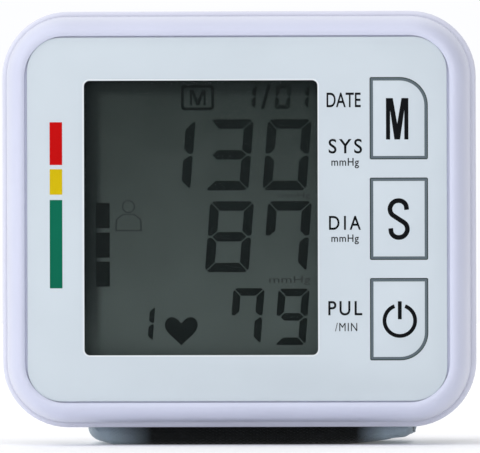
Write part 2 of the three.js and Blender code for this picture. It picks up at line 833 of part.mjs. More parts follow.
// Cuff: a station is a point of the loop with the direction to the wrist
const rearCentre = { y: loopCentreY, z: loopCentreZ };
const lowCentre = { y: coverY + cuffCorner, z: cuffCorner - floorCut };
const topCentre = { y: coverY + cuffCorner, z: stubTopZ - cuffCorner };

function arcStations(centre, radius, startDegrees, endDegrees, steps) {
  return Array.from({ length: steps + 1 }, (_, index) => {
    const degrees = startDegrees + ((endDegrees - startDegrees) * index) / steps;
    const angle = THREE.MathUtils.degToRad(degrees);
    const y = centre.y + radius * Math.cos(angle);
    const z = centre.z + radius * Math.sin(angle);
    return { y, z, inY: -Math.cos(angle), inZ: -Math.sin(angle) };
  });
}

// The fixed run: from the split at the back, under the case, up behind it and over to its own end
function lowerRun(inset, startDegrees) {
  const radius = loopRadius - inset;
  const corner = cuffCorner - inset;
  return [
    ...arcStations(rearCentre, radius, startDegrees, -90, rearSteps),
    ...arcStations(lowCentre, corner, -90, -180, toeSteps),
    ...arcStations(topCentre, corner, 180, 90, cornerSteps),
    ...arcStations(rearCentre, stubRadius - inset, 90, stubEndDegrees, stubSteps),
  ];
}

// The opening run: from the split up the back and forward over the top
function upperRun(inset, startDegrees, endY) {
  const radius = loopRadius - inset;
  return [
    ...arcStations(rearCentre, radius, startDegrees, 90, rearSteps),
    { y: endY, z: rearCentre.z + radius, inY: 0, inZ: -1 },
  ];
}

// One ring of a layer: the outside from left to right, then the inside back again
function layerRing(outside, inside, half, seam, crown) {
  const at = (station, share, shift) => {
    const total = shift + liftAt(share * half);
    return new THREE.Vector3(cuffX + share * half, station.y + station.inY * total,
      station.z + station.inZ * total);
  };
  const soft = (share) => (Math.abs(share) === 1 ? edgeSoft : 0);
  const sewn = (share) => (Math.abs(share) === seamShare ? seam : 0);
  const outer = acrossShares.map((share) => at(outside, share, soft(share) + sewn(share)));
  const inner = acrossShares.map((share) => at(inside, share, crown * (1 - share * share) - soft(share)));
  return [...outer, ...inner.reverse()];
}

// The layers curl away from the outside towards both edges, longer on the right
function liftAt(x) {
  const start = x < 0 ? leftLiftX : rightLiftX;
  const past = Math.max(0, (Math.abs(x) - start) / (cuffHalf - start));
  return edgeRise * past * past;
}

function layer(outsides, insides, half, seam = 0, crown = 0) {
  return ringBody(outsides.map((outside, index) => layerRing(outside, insides[index], half, seam, crown)));
}

// Under the case the cover swells forward to fill the corner below the rear shell
function toeStation(y, z, inside) {
  if (z < caseLift) return { y, z, inY: 0, inZ: 1 };
  const reach = Math.hypot(inside.y - y, inside.z - z);
  return { y, z, inY: (inside.y - y) / reach, inZ: (inside.z - z) / reach };
}

function underCase(degrees) {
  const angle = THREE.MathUtils.degToRad(degrees);
  const centreZ = caseLift + taperZ;
  const y = taperStartY + (taperDepth + fit) * Math.sin(angle);
  return [y, centreZ - (taperZ + fit) * Math.cos(angle)];
}

function cuffCover() {
  const splitDegrees = -THREE.MathUtils.radToDeg(fit / 2 / loopRadius);
  const outer = lowerRun(0, splitDegrees);
  const inner = lowerRun(coverThickness, splitDegrees);
  const noseY = toeY + toeRadius;
  const cornerStart = rearSteps + 1;
  const toe = [
    [(lowCentre.y + noseY) / 2, -floorCut],
    [noseY, -floorCut],
    [toeY, toeRadius],
    ...toeDegrees.map(underCase),
  ];
  toe.forEach(([y, z], index) => {
    outer[cornerStart + 1 + index] = toeStation(y, z, inner[cornerStart + 1 + index]);
  });
  const body = layer(outer, inner, cuffHalf, seamDepth);
  const back = loopCentreY + loopRadius;
  const floor = block(-caseWidth, caseWidth, -overrun, back, -2 * floorCut - overrun, 0);
  return cut(body, floor, ...cuffHoles(coverY - overrun, coverY + curlerInset));
}

// Holes that the clamp screws and the nipple pass through, in the frame of the loop
function cuffHoles(front, back) {
  const screws = clampScrews.map(([x, z]) => pinY(clampScrewRadius + fit, front, back, x, z + caseCentreZ));
  return [...screws, pinY(nippleRadius + fit, front, back, airX, airZ + caseCentreZ)];
}

function cuffCurler() {
  const outer = lowerRun(curlerInset, -curlerEndAngle);
  const inner = lowerRun(curlerInset + curlerThickness, -curlerEndAngle);
  const body = layer(outer, inner, curlerHalf);
  return cut(body, ...cuffHoles(coverY, coverY + padInset));
}

function airBladder() {
  const outer = lowerRun(padInset, -curlerEndAngle);
  const inner = lowerRun(padInset + padThickness, -curlerEndAngle);
  const body = layer(outer, inner, padHalf, 0, padCrown);
  const pocketBack = coverY + padInset + clampThickness + fit;
  const pocket = block(cuffX - clampHalfX - fit, cuffX + clampHalfX + fit, coverY, pocketBack,
    caseCentreZ - clampHalfZ - fit, caseCentreZ + clampHalfZ + fit);
  const heads = clampScrews.map(([x, z]) =>
    pinY(clampHeadRadius + fit, coverY, pocketBack + clampHeadHeight, x, z + caseCentreZ));
  const inlet = pinY(nippleRadius + fit, coverY, coverY + padInset + padThickness + padCrown + overrun,
    airX, airZ + caseCentreZ);
  return cut(body, pocket, ...heads, inlet);
}

const clampY = coverY + padInset;

function cuffClamp() {
  const shape = faceShape(2 * clampHalfX, 2 * clampHalfZ, edgeRise, cuffX, 0);
  const holes = clampScrews.map(([x, z]) => pinY(clampScrewRadius + fit, 0, loopRadius, x, z));
  const port = pinY(nippleRadius + fit, 0, loopRadius, airX, airZ);
  return cut(slab(shape, clampY, clampY + clampThickness), ...holes, port);
}

function closureFlap() {
  const splitDegrees = THREE.MathUtils.radToDeg(fit / 2 / loopRadius);
  return layer(upperRun(0, splitDegrees, flapEndY), upperRun(flapThickness, splitDegrees, flapEndY),
    cuffHalf, seamDepth);
}

// A strip of hook or loop along the top of the loop, from a place in front to an angle behind
function topStrip(radius, thickness, frontY, endDegrees) {
  const run = (depth) => [
    { y: frontY, z: loopCentreZ + radius - depth, inY: 0, inZ: -1 },
    ...arcStations(rearCentre, radius - depth, 90, endDegrees, stubSteps),
  ];
  return layer(run(0), run(thickness), hookHalf);
}

function pullTab() {
  const top = loopCentreZ + loopRadius - flapThickness / 2 + tabThickness / 2 - edgeRise / 4;
  return block(cuffX - tabHalf, cuffX + tabHalf, flapEndY - fit - tabLength, flapEndY - fit,
    top - tabThickness, top);
}

place(housing, 'front_cover', frontCover(), colours.case, 0.35);
place(housing, 'rear_cover', rearCover(), colours.case, 0.4);
place(housing, 'battery_door', batteryDoor(), colours.case, 0.4);
place(housing, 'face_film', faceFilm(), colours.film, 0.3);
place(housing, 'display_window', displayWindow(), colours.lens, 0.1);
place(housing, 'lcd_glass', lcdGlass(), colours.glass, 0.2);
place(housing, 'lcd_holder', lcdHolder(), colours.white, 0.6);
place(housing, 'contact_strip', contactStrip(), colours.dark, 0.8);
place(housing, 'main_board', mainBoard(), colours.board, 0.5);
place(housing, 'controller_chip', controllerChip(), colours.dark, 0.5);
const buzzer = pinY(buzzerRadius, partY, partY + buzzerHeight, buzzerX, buzzerZ);
place(housing, 'buzzer', buzzer, colours.dark, 0.5);
place(housing, 'pressure_sensor', pressureSensor(), colours.dark, 0.5);

for (const key of keys) {
  place(housing, `key_${key.name}`, keyCap(key), colours.film, 0.3);
  place(housing, `plunger_${key.name}`, keyPlunger(key), colours.white, 0.5);
  place(housing, `switch_button_${key.name}`, switchButton(key), colours.dark, 0.5);
  place(housing, `switch_body_${key.name}`, switchBody(key), colours.metal, 0.4, 0.8);
}

place(housing, 'pump_motor', pumpMotor(), colours.metal, 0.3, 0.9);
place(housing, 'pump_head', pumpHead(), colours.white, 0.5);
place(housing, 'pump_crank', pumpCrank(), colours.steel, 0.4, 0.8);
place(housing, 'exhaust_valve', exhaustValve(), colours.metal, 0.4, 0.8);
place(housing, 'valve_plunger', valvePlunger(), colours.steel, 0.3, 0.9);
place(housing, 'air_manifold', airManifold(), colours.white, 0.5);
for (const [name, geometry] of Object.entries(hoses())) {
  place(housing, name, geometry, colours.hose, 0.6);
}
place(housing, 'air_nipple', airNipple(), colours.white, 0.5);

const cellInnerX = cellOuterX + cellPitch;
const plateHalf = contactWidth / 2;
place(housing, 'battery_cell_1', batteryCell(cellOuterX, 1), colours.cell, 0.4, 0.3);
place(housing, 'battery_cell_2', batteryCell(cellInnerX, -1), colours.cell, 0.4, 0.3);
place(housing, 'contact_bridge', contactPlate(1, cellOuterX - plateHalf, cellInnerX + plateHalf),
  colours.brass, 0.3, 0.9);
place(housing, 'contact_minus', contactPlate(-1, cellOuterX - plateHalf, cellOuterX + plateHalf),
  colours.brass, 0.3, 0.9);
place(housing, 'contact_plus', contactPlate(-1, cellInnerX - plateHalf, cellInnerX + plateHalf),
  colours.brass, 0.3, 0.9);
place(housing, 'contact_spring_1', contactSpring(cellOuterX, -1), colours.steel, 0.3, 0.9);
place(housing, 'contact_spring_2', contactSpring(cellInnerX, 1), colours.steel, 0.3, 0.9);

corners.forEach(([sx, sz], index) => {
  const screw = screwAt(sx * postX, sz * postZ, screwRadius, screwHeadRadius, screwHeadHeight, screwTipY,
    screwSeatY + glueGap);
  place(housing, `case_screw_${index + 1}`, screw, colours.steel, 0.35, 0.9);
});
clampScrews.forEach(([x, z], index) => {
  const screw = screwAt(x, z, clampScrewRadius, clampHeadRadius, clampHeadHeight,
    caseDepth - wall - clampPostLength / 2, clampY + clampThickness + glueGap);
  place(housing, `clamp_screw_${index + 1}`, screw, colours.steel, 0.35, 0.9);
});
place(housing, 'cuff_clamp', cuffClamp(), colours.dark, 0.5);

place(monitor, 'cuff_cover', cuffCover(), colours.fabric, 0.95);
place(monitor, 'cuff_curler', cuffCurler(), colours.white, 0.6);
place(monitor, 'air_bladder', airBladder(), colours.lining, 0.9);
place(monitor, 'closure_flap', closureFlap(), colours.fabric, 0.95);
const hookPatch = topStrip(loopRadius - hookOuter, hookThickness, flapEndY, hookEndDegrees);
const loopPatch = topStrip(pileRadius, pileThickness, topCentre.y, stubEndDegrees);
place(monitor, 'hook_patch', hookPatch, colours.pile, 1);
place(monitor, 'loop_patch', loopPatch, colours.pile, 1);
place(monitor, 'pull_tab', pullTab(), colours.fabric, 0.9);

// The part is centred from front to back and stands on its cuff
monitor.position.y = -(loopCentreY + loopRadius) / 2;

export default monitor;
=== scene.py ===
"""Finish of the wrist blood pressure monitor.

The case, the printed face, the display and the fabric cuff are modelled in millimetres, in the
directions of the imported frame, and then settled into its metres.
"""

import logging
import math
from collections.abc import Callable, Iterator, Sequence
from contextlib import contextmanager
from dataclasses import dataclass
from enum import Enum

import bmesh
import bpy
from mathutils import Matrix, Vector


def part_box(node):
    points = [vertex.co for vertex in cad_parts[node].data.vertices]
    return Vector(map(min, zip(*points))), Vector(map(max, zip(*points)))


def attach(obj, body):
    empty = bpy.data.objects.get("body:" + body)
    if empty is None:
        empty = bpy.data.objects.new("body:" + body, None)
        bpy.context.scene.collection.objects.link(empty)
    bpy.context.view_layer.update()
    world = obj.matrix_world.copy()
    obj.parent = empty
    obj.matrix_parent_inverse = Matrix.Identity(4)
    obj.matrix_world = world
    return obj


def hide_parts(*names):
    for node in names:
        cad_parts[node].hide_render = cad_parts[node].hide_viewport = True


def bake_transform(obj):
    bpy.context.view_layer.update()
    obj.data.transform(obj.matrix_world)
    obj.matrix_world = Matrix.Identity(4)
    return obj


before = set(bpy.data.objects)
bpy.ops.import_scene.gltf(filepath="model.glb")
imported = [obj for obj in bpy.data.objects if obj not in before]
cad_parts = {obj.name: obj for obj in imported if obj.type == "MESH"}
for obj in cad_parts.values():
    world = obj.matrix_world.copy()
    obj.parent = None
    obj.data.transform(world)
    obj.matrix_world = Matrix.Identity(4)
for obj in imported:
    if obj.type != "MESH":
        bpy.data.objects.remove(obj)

log = logging.getLogger("monitor")

MM = 0.001
NEAR = 1e-3
QUARTER = math.pi / 2
CORNER_STEPS = 14
QUADRANTS = ((1, 1), (-1, 1), (-1, -1), (1, -1))
ZERO = Vector((0, 0, 0))
UP = Vector((0, 0, 1))
RIGHT = Vector((1, 0, 0))

Tone = tuple[int, int, int]
Point = tuple[float, float]
Stitch = tuple[Vector, Vector, Vector]


class Body(Enum):
    """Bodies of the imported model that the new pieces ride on."""

    ROOT = "root"
    MEMORY = "memory_key"
    SET = "set_key"
    POWER = "power_key"
    DOOR = "door"
    FLAP = "flap"


KEYS = {"memory": Body.MEMORY, "set": Body.SET, "power": Body.POWER}
SCREWS = (1, 2, 3, 4)


class Cut(Enum):
    """Ways to combine two solids."""

    AWAY = "DIFFERENCE"
    TOGETHER = "UNION"
    COMMON = "INTERSECT"


def clear_selection() -> None:
    """Leaves object mode with nothing selected."""
    if bpy.context.object is not None and bpy.context.object.mode != "OBJECT":
        bpy.ops.object.mode_set(mode="OBJECT")
    bpy.ops.object.select_all(action="DESELECT")


def measured(node: str, origin: Vector = ZERO) -> list[Vector]:
    """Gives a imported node's two corners in millimetres from an origin that is in metres."""
    return [(corner - origin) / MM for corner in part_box(node)]


def quarter(steps: int) -> Iterator[Point]:
    """Walks a quarter of a circle of radius 1.

    Args:
        steps: Number of even steps.

    Yields:
        How far the place lies inside the start, and how far along.
    """
    for step in range(1, steps + 1):
        angle = QUARTER * step / steps
        yield 1 - math.cos(angle), math.sin(angle)


def through(knots: list[Vector], parts: int) -> list[Vector]:
    """Draws a smooth curve through knots.

    Args:
        knots: The points that it passes through.
        parts: Number of steps between two knots.

    Returns:
        The points of the curve.
    """
    line = []
    for before, first, second, after in zip(knots[:1] + knots, knots, knots[1:], knots[2:] + knots[-1:]):
        line += [0.5 * (2 * first + (second - before) * t
                        + (2 * before - 5 * first + 4 * second - after) * t * t
                        + (3 * first - before - 3 * second + after) * t ** 3)
                 for t in (part / parts for part in range(parts))]
    return line + [knots[-1]]


class Workpiece:
    """One piece on the bench, modelled in millimetres."""

    def __init__(self, name: str) -> None:
        """Takes the object that an operator has just added, and names it."""
        self.obj = bpy.context.active_object
        self.named(name)

    def named(self, name: str) -> "Workpiece":
        """Names the object and its mesh alike."""
        self.obj.name = self.obj.data.name = name
        return self

    def freeze(self) -> "Workpiece":
        """Writes the object's place, turn and scale into its mesh."""
        bpy.ops.object.transform_apply(location=True, rotation=True, scale=True)
        return self

    @classmethod
    def plate(cls, name: str, width: float, height: float, radii: float | Sequence[float], x: float = 0,
              z: float = 0, y: float = 0, back: bool = False) -> "Workpiece":
        """Adds a rectangle with rounded corners that stands upright.

        Args:
            name: The piece's name.
            width: Size along X.
            height: Size along Z.
            radii: One radius, or four from the top right, anticlockwise seen from the front.
            x: Centre along X.
            z: Centre along Z.
            y: Depth at which it stands.
            back: Whether it faces the back.

        Returns:
            The flat plate.
        """
        clear_selection()
        turn = -QUARTER if back else QUARTER
        bpy.ops.mesh.primitive_plane_add(size=1, location=(x, y, z), rotation=(turn, 0, 0))
        piece = cls(name)
        piece.obj.scale = (width, height, 1)
        piece.freeze()
        four = [radii] * 4 if isinstance(radii, (int, float)) else list(radii)
        for (sx, sz), radius in zip(QUADRANTS, four):
            if radius > NEAR:
                piece.round_corner(Vector((x + sx * width / 2, y, z + sz * height / 2)), radius)
        return piece

    @classmethod
    def block(cls, name: str, low: Sequence[float], high: Sequence[float]) -> "Workpiece":
        """Adds a box between two corners.

        Args:
            name: The piece's name.
            low: Lowest corner.
            high: Highest corner.

        Returns:
            The box.
        """
        clear_selection()
        centre = [(a + b) / 2 for a, b in zip(low, high)]
        bpy.ops.mesh.primitive_cube_add(size=1, location=centre)
        piece = cls(name)
        piece.obj.scale = [b - a for a, b in zip(low, high)]
        return piece.freeze()

    @classmethod
    def rod(cls, name: str, radius: float, length: float, place: Sequence[float], turn: Sequence[float],
            sides: int) -> "Workpiece":
        """Adds a round rod.

        Args:
            name: The piece's name.
            radius: Its radius.
            length: Its length.
            place: Its middle.
            turn: Its turn from upright, about X, Y and Z.
            sides: Number of sides.

        Returns:
            The closed rod.
        """
        clear_selection()
        bpy.ops.mesh.primitive_cylinder_add(vertices=sides, radius=radius, depth=length, location=place,
                                            rotation=turn)
        return cls(name).freeze()

    @classmethod
    def disc(cls, name: str, radius: float, x: float, y: float, z: float, sides: int = 32,
             axis: str = "Y", filled: bool = True) -> "Workpiece":
        """Adds a flat disc or ring of points that faces down its axis.

        Args:
            name: The piece's name.
            radius: Outer radius.
            x: Centre along X.
            y: Centre along Y.
            z: Centre along Z.
            sides: Number of sides.
            axis: Y for a disc that faces the front, Z for one that faces up.
            filled: Whether it has a face.

        Returns:
            The disc.
        """
        clear_selection()
        turn = (QUARTER, 0, 0) if axis == "Y" else (0, 0, 0)
        bpy.ops.mesh.primitive_circle_add(vertices=sides, radius=radius, location=(x, y, z), rotation=turn,
                                          fill_type="NGON" if filled else "NOTHING")
        return cls(name).freeze()

    @classmethod
    def outline(cls, name: str, points: Sequence[Point], y: float, depth: float) -> "Workpiece":
        """Adds a thin plate with a drawn outline that stands upright.

        Args:
            name: The piece's name.
            points: X and Z of its corners, anticlockwise seen from the front.
            y: Depth of its front.
            depth: Thickness.

        Returns:
            The closed plate.
        """
        piece = cls.disc(name, 1, 0, 0, 0, sides=len(points))
        for vertex, (x, z) in zip(piece.obj.data.vertices, points):
            vertex.co = (x, y, z)
        return piece.thicken(depth)

    @classmethod
    def words(cls, name: str, text: str, centre: Point, size: Point, y: float, depth: float,
              spacing: float = 1, weight: float = 0) -> "Workpiece":
        """Adds raised letters that fill a measured rectangle on the face.

        Args:
            name: The piece's name.
            text: The letters.
            centre: X and Z of the middle.
            size: Width and height of the letters together.
            y: Depth of their front.
            depth: Thickness.
            spacing: Room between letters, as a share of the normal.
            weight: Extra stroke, as a share of the size.

        Returns:
            The letters as one mesh.
        """
        clear_selection()
        bpy.ops.object.text_add()
        letters = bpy.context.active_object.data
        letters.body = text
        letters.space_character = spacing
        letters.offset = weight
        letters.extrude = 1
        letters.resolution_u = 5
        bpy.ops.object.convert(target="MESH")
        piece = cls(name)
        corners = [vertex.co.copy() for vertex in piece.obj.data.vertices]
        low = Vector(min(co[axis] for co in corners) for axis in range(3))
        high = Vector(max(co[axis] for co in corners) for axis in range(3))
        middle = (low + high) / 2
        for vertex, co in zip(piece.obj.data.vertices, corners):
            share = Vector((co[axis] - middle[axis]) / (high[axis] - low[axis]) for axis in range(3))
            vertex.co = (centre[0] + share.x * size[0], y + depth / 2 - share.z * depth,
                         centre[1] + share.y * size[1])
        return piece.face_out()

    @classmethod
    def letter_m(cls, centre: Point, size: Point, stroke: float, y: float, depth: float) -> "Workpiece":
        """Adds a bold letter M with its V down to the foot.

        Args:
            centre: X and Z of the middle.
            size: Width and height.
            stroke: Width of a stem.
            y: Depth of its front.
            depth: Thickness.

        Returns:
            The letter.
        """
        wide, high = size[0] / 2, size[1] / 2
        valley, root = 0.24 * high, 0.42 * high
        shoulder, stem, slope = 1.15 * stroke, 0.69 * stroke, 0.47 * stroke
        half = [(0, -valley), (shoulder - wide, high), (-wide, high), (-wide, -high), (stem - wide, -high),
                (stem - wide, root), (-slope, -high)]
        points = half + [(-x, z) for x, z in reversed(half[1:])]
        return cls.outline("letter", [(centre[0] + x, centre[1] + z) for x, z in points], y, depth)

    @classmethod
    def letter_s(cls, centre: Point, size: Point, stroke: float, y: float, depth: float) -> "Workpiece":
        """Adds a letter S of one even stroke.

        Args:
            centre: X and Z of the middle.
            size: Width and height.
            stroke: Width of the stroke.
            y: Depth of its front.
            depth: Thickness.

        Returns:
            The letter.
        """
        wide, high = (size[0] - stroke) / 2, (size[1] - stroke) / 2
        half = [(0.92, 0.5), (0.82, 0.77), (0.45, 0.95), (0.0, 1.0), (-0.48, 0.95), (-0.85, 0.78),
                (-1.0, 0.54), (-0.78, 0.26)]
        knots = [Vector((x * wide, z * high)) for x, z in half]
        line = through(knots + [Vector((0, 0))] + [-knot for knot in reversed(knots)], 8)
        left, right = [], []
        for before, place, after in zip(line[:1] + line, line, line[1:] + line[-1:]):
            across = (after - before).normalized() * stroke / 2
            left.append((centre[0] + place.x - across.y, centre[1] + place.y + across.x))
            right.append((centre[0] + place.x + across.y, centre[1] + place.y - across.x))
        return cls.outline("letter", right + left[::-1], y, depth)

    def pick(self) -> None:
        """Selects only this piece and makes it active."""
        clear_selection()
        bpy.context.view_layer.objects.active = self.obj
        self.obj.select_set(True)

    @contextmanager
    def editing(self, kind: str) -> Iterator[bmesh.types.BMesh]:
        """Opens the piece in edit mode with nothing selected.

        Args:
            kind: VERT, EDGE or FACE, what is selected.

        Yields:
            The mesh that is edited.
        """
        self.pick()
        bpy.ops.object.mode_set(mode="EDIT")
        bpy.ops.mesh.select_mode(type=kind)
        bpy.ops.mesh.select_all(action="DESELECT")
        yield bmesh.from_edit_mesh(self.obj.data)
        bpy.ops.object.mode_set(mode="OBJECT")

    def round_corner(self, corner: Vector, radius: float) -> None:
        """Rounds one corner of a flat plate.

        Args:
            corner: Where the sharp corner is.
            radius: Radius of the rounding.
        """
        with self.editing("VERT") as mesh:
            for vertex in mesh.verts:
                vertex.select_set((vertex.co - corner).length < NEAR)
            bpy.ops.mesh.bevel(offset=radius, segments=CORNER_STEPS, affect="VERTICES")

    def pick_end(self, way: int) -> None:
        """Selects only the large end face that looks along Y.

        Args:
            way: 1 for the face that looks back, -1 for the one that looks forward.
        """
        bpy.ops.mesh.select_all(action="DESELECT")
        mesh = bmesh.from_edit_mesh(self.obj.data)
        for face in mesh.faces:
            face.select_set(face.normal.y * way > 0.9 and len(face.verts) > 4 * CORNER_STEPS)
        mesh.select_flush_mode()
        bmesh.update_edit_mesh(self.obj.data)

    def shape(self, change: Callable[[Vector], Sequence[float]]) -> None:
        """Moves every selected point.

        Args:
            change: Gives a point's new place.
        """
        mesh = bmesh.from_edit_mesh(self.obj.data)
        for vertex in mesh.verts:
            if vertex.select:
                vertex.co = change(vertex.co)
        bmesh.update_edit_mesh(self.obj.data)

    def push(self, y: float = 0, z: float = 0, narrow: Point = (0, 0)) -> None:
        """Extrudes the selected face, and can draw its four corners in.

        Args:
            y: Move along Y.
            z: Move along Z.
            narrow: How far each corner moves in along X and Z.
        """
        bpy.ops.mesh.extrude_region_move(TRANSFORM_OT_translate={"value": (0, y, z)})
        if any(narrow):
            self.shape(lambda co: (co.x - math.copysign(narrow[0], co.x), co.y,
                                   co.z - math.copysign(narrow[1], co.z)))

    def thicken(self, depth: float) -> "Workpiece":
        """Turns a flat plate into a slab.

        Args:
            depth: Thickness along Y.

        Returns:
            The piece itself.
        """
        with self.editing("FACE"):
            bpy.ops.mesh.select_all(action="SELECT")
            self.push(y=depth)
            bpy.ops.mesh.select_all(action="SELECT")
            bpy.ops.mesh.normals_make_consistent(inside=False)
        return self

    def apply(self, kind: str, **settings: object) -> "Workpiece":
        """Adds a modifier and applies it.

        Args:
            kind: The modifier's type.
            **settings: Its settings.

        Returns:
            The piece itself.
        """
        modifier = self.obj.modifiers.new(kind.lower(), kind)
        for key, value in settings.items():
            setattr(modifier, key, value)
        self.pick()
        bpy.ops.object.modifier_apply(modifier=modifier.name)
        return self

    def combine(self, how: Cut, *others: "Workpiece") -> "Workpiece":
        """Cuts or adds other solids and uses them up.

        Args:
            how: What the others do to this piece.
            *others: The other solids.

        Returns:
            The piece itself.
        """
        for other in others:
            self.apply("BOOLEAN", object=other.obj, operation=how.value, solver="EXACT")
            bpy.data.objects.remove(other.obj)
        return self

    def join(self, *others: "Workpiece") -> "Workpiece":
        """Makes separate pieces one object.

        Args:
            *others: The pieces that are taken in.

        Returns:
            The piece itself.
        """
        self.pick()
        for other in others:
            other.obj.select_set(True)
        bpy.ops.object.join()
        return self

    def copy(self, name: str) -> "Workpiece":
        """Makes a copy with a mesh of its own.

        Args:
            name: The copy's name.

        Returns:
            The copy.
        """
        self.pick()
        bpy.ops.object.duplicate(linked=False)
        return Workpiece(name)

    def soften(self, width: float, steps: int = 2, degrees: float = 40) -> "Workpiece":
        """Rounds the edges that turn more than some degrees, over a width and in a number of steps."""
        return self.apply("BEVEL", width=width, segments=steps, limit_method="ANGLE",
                          angle_limit=math.radians(degrees), use_clamp_overlap=True, harden_normals=False)

    def face_out(self) -> "Workpiece":
        """Merges doubled points and turns all faces outwards.

        Returns:
            The piece itself.
        """
        with self.editing("VERT"):
            bpy.ops.mesh.select_all(action="SELECT")
            bpy.ops.mesh.remove_doubles(threshold=NEAR / 10)
            bpy.ops.mesh.normals_make_consistent(inside=False)
        return self

    def smooth(self, degrees: float) -> "Workpiece":
        """Shades the piece smooth except at sharp edges.

        Args:
            degrees: Edges that turn more than this stay sharp.

        Returns:
            The piece itself.
        """
        self.pick()
        bpy.ops.object.shade_smooth_by_angle(angle=math.radians(degrees))
        return self

    def settle(self, origin: Vector, finish: bpy.types.Material, slot: str, body: Body | None = Body.ROOT,
               stands_for: Sequence[str] = ()) -> bpy.types.Object:
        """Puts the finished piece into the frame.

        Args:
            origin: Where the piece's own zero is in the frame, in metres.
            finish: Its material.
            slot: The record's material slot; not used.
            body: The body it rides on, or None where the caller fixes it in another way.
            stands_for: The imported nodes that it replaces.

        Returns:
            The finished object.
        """
        self.obj.data.transform(Matrix.Translation(origin) @ Matrix.Scale(MM, 4))
        self.obj.data.materials.clear()
        self.obj.data.materials.append(finish)
        if body is not None:
            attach(self.obj, body.value)
        if stands_for:
            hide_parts(*stands_for)
        log.info("%s: %d faces", self.obj.name, len(self.obj.data.polygons))
        return self.obj


def linear(tone: Tone) -> tuple[float, float, float, float]:
    """Turns screen values from 0 to 255 into the colour that a shader takes."""
    shares = [value / 255 for value in tone]
    return (*(share / 12.92 if share < 0.04045 else ((share + 0.055) / 1.055) ** 2.4 for share in shares), 1)


class Recipe:
    """The nodes of one material round its main shader."""

    def __init__(self, name: str) -> None:
        """Starts an empty material.

        Args:
            name: The material's name.
        """
        self.material = bpy.data.materials.new(name)
        self.material.use_nodes = True
        self.nodes = self.material.node_tree.nodes
        self.shader = self.nodes["Principled BSDF"]
        self.place = self.node("ShaderNodeTexCoord", {}).outputs["Object"]

    def node(self, kind: str, feeds: dict, **settings: object) -> bpy.types.Node:
        """Adds one node.

        Args:
            kind: Its type.
            feeds: Values or outputs for its inputs, by name or number.
            **settings: Its own settings.

        Returns:
            The node.
        """
        made = self.nodes.new(kind)
        for key, value in settings.items():
            setattr(made, key, value)
        for key, value in feeds.items():
            self.feed(made.inputs[key], value)
        return made

    def feed(self, socket: bpy.types.NodeSocket, value: object) -> None:
        """Links an output to a socket, or sets its value.

        Args:
            socket: The input.
            value: An output or a plain value.
        """
        if isinstance(value, bpy.types.NodeSocket):
            self.material.node_tree.links.new(value, socket)
        else:
            socket.default_value = value

    def set(self, **values: object) -> None:
        """Sets inputs of the main shader, written with underscores for spaces."""
        for key, value in values.items():
            self.feed(self.shader.inputs[key.replace("_", " ")], value)

    def cloud(self, grain: float, detail: float = 3) -> bpy.types.NodeSocket:
        """Adds soft noise from 0 to 1, with patches of a grain in millimetres and some finer layers."""
        return self.node("ShaderNodeTexNoise", {"Vector": self.place, "Scale": 1 / (grain * MM),
                                                "Detail": detail, "Roughness": 0.55}).outputs[0]

    def span(self, value: bpy.types.NodeSocket, low: float, high: float, start: float = 0.3,
             end: float = 0.7) -> bpy.types.NodeSocket:
        """Maps a value from the range between start and end to that between low and high."""
        return self.node("ShaderNodeMapRange", {"Value": value, "From Min": start, "From Max": end,
                                                "To Min": low, "To Max": high}).outputs[0]

    def between(self, share: bpy.types.NodeSocket, first: object, second: object) -> bpy.types.NodeSocket:
        """Mixes two colours by the share of the second."""
        return self.node("ShaderNodeMix", {0: share, 6: first, 7: second}, data_type="RGBA").outputs[2]

    def sum(self, how: str, first: object, second: object = 0.0) -> bpy.types.NodeSocket:
        """Combines two numbers by a named operation."""
        return self.node("ShaderNodeMath", {0: first, 1: second}, operation=how).outputs[0]

    def axes(self, place: bpy.types.NodeSocket | None = None) -> bpy.types.NodeOutputs:
        """Gives the parts X, Y and Z of a place, or of the point that is shaded."""
        return self.node("ShaderNodeSeparateXYZ", {"Vector": self.place if place is None else place}).outputs

    def relief(self, height: bpy.types.NodeSocket, depth: float, over: object = None) -> bpy.types.NodeSocket:
        """Adds a bump of a real depth and feeds it to the shader.

        Args:
            height: The height from 0 to 1.
            depth: Its depth in millimetres.
            over: A bump that lies under this one.

        Returns:
            The bent normal.
        """
        feeds = {"Height": height, "Distance": depth * MM, "Strength": 1.0}
        if over is not None:
            feeds["Normal"] = over
        bent = self.node("ShaderNodeBump", feeds).outputs[0]
        self.set(Normal=bent)
        return bent

    def weave(self, across: float, along: float) -> bpy.types.NodeSocket:
        """Adds crossing threads that follow the piece's own map.

        Args:
            across: Threads over the width.
            along: Threads over the length.

        Returns:
            The height of the threads from 0 to 1.
        """
        flat = self.node("ShaderNodeUVMap", {}).outputs[0]
        threads = self.node("ShaderNodeMapping", {"Vector": flat, "Scale": (across, along, 1)}).outputs[0]
        parts = self.axes(threads)
        arches = [self.sum("ABSOLUTE", self.sum("SINE", self.sum("MULTIPLY", part, math.pi)))
                  for part in (parts["X"], parts["Y"])]
        over = self.node("ShaderNodeTexChecker", {"Vector": threads, "Scale": 1.0}).outputs["Fac"]
        return self.node("ShaderNodeMix", {0: over, 2: arches[0], 3: arches[1]}).outputs[0]


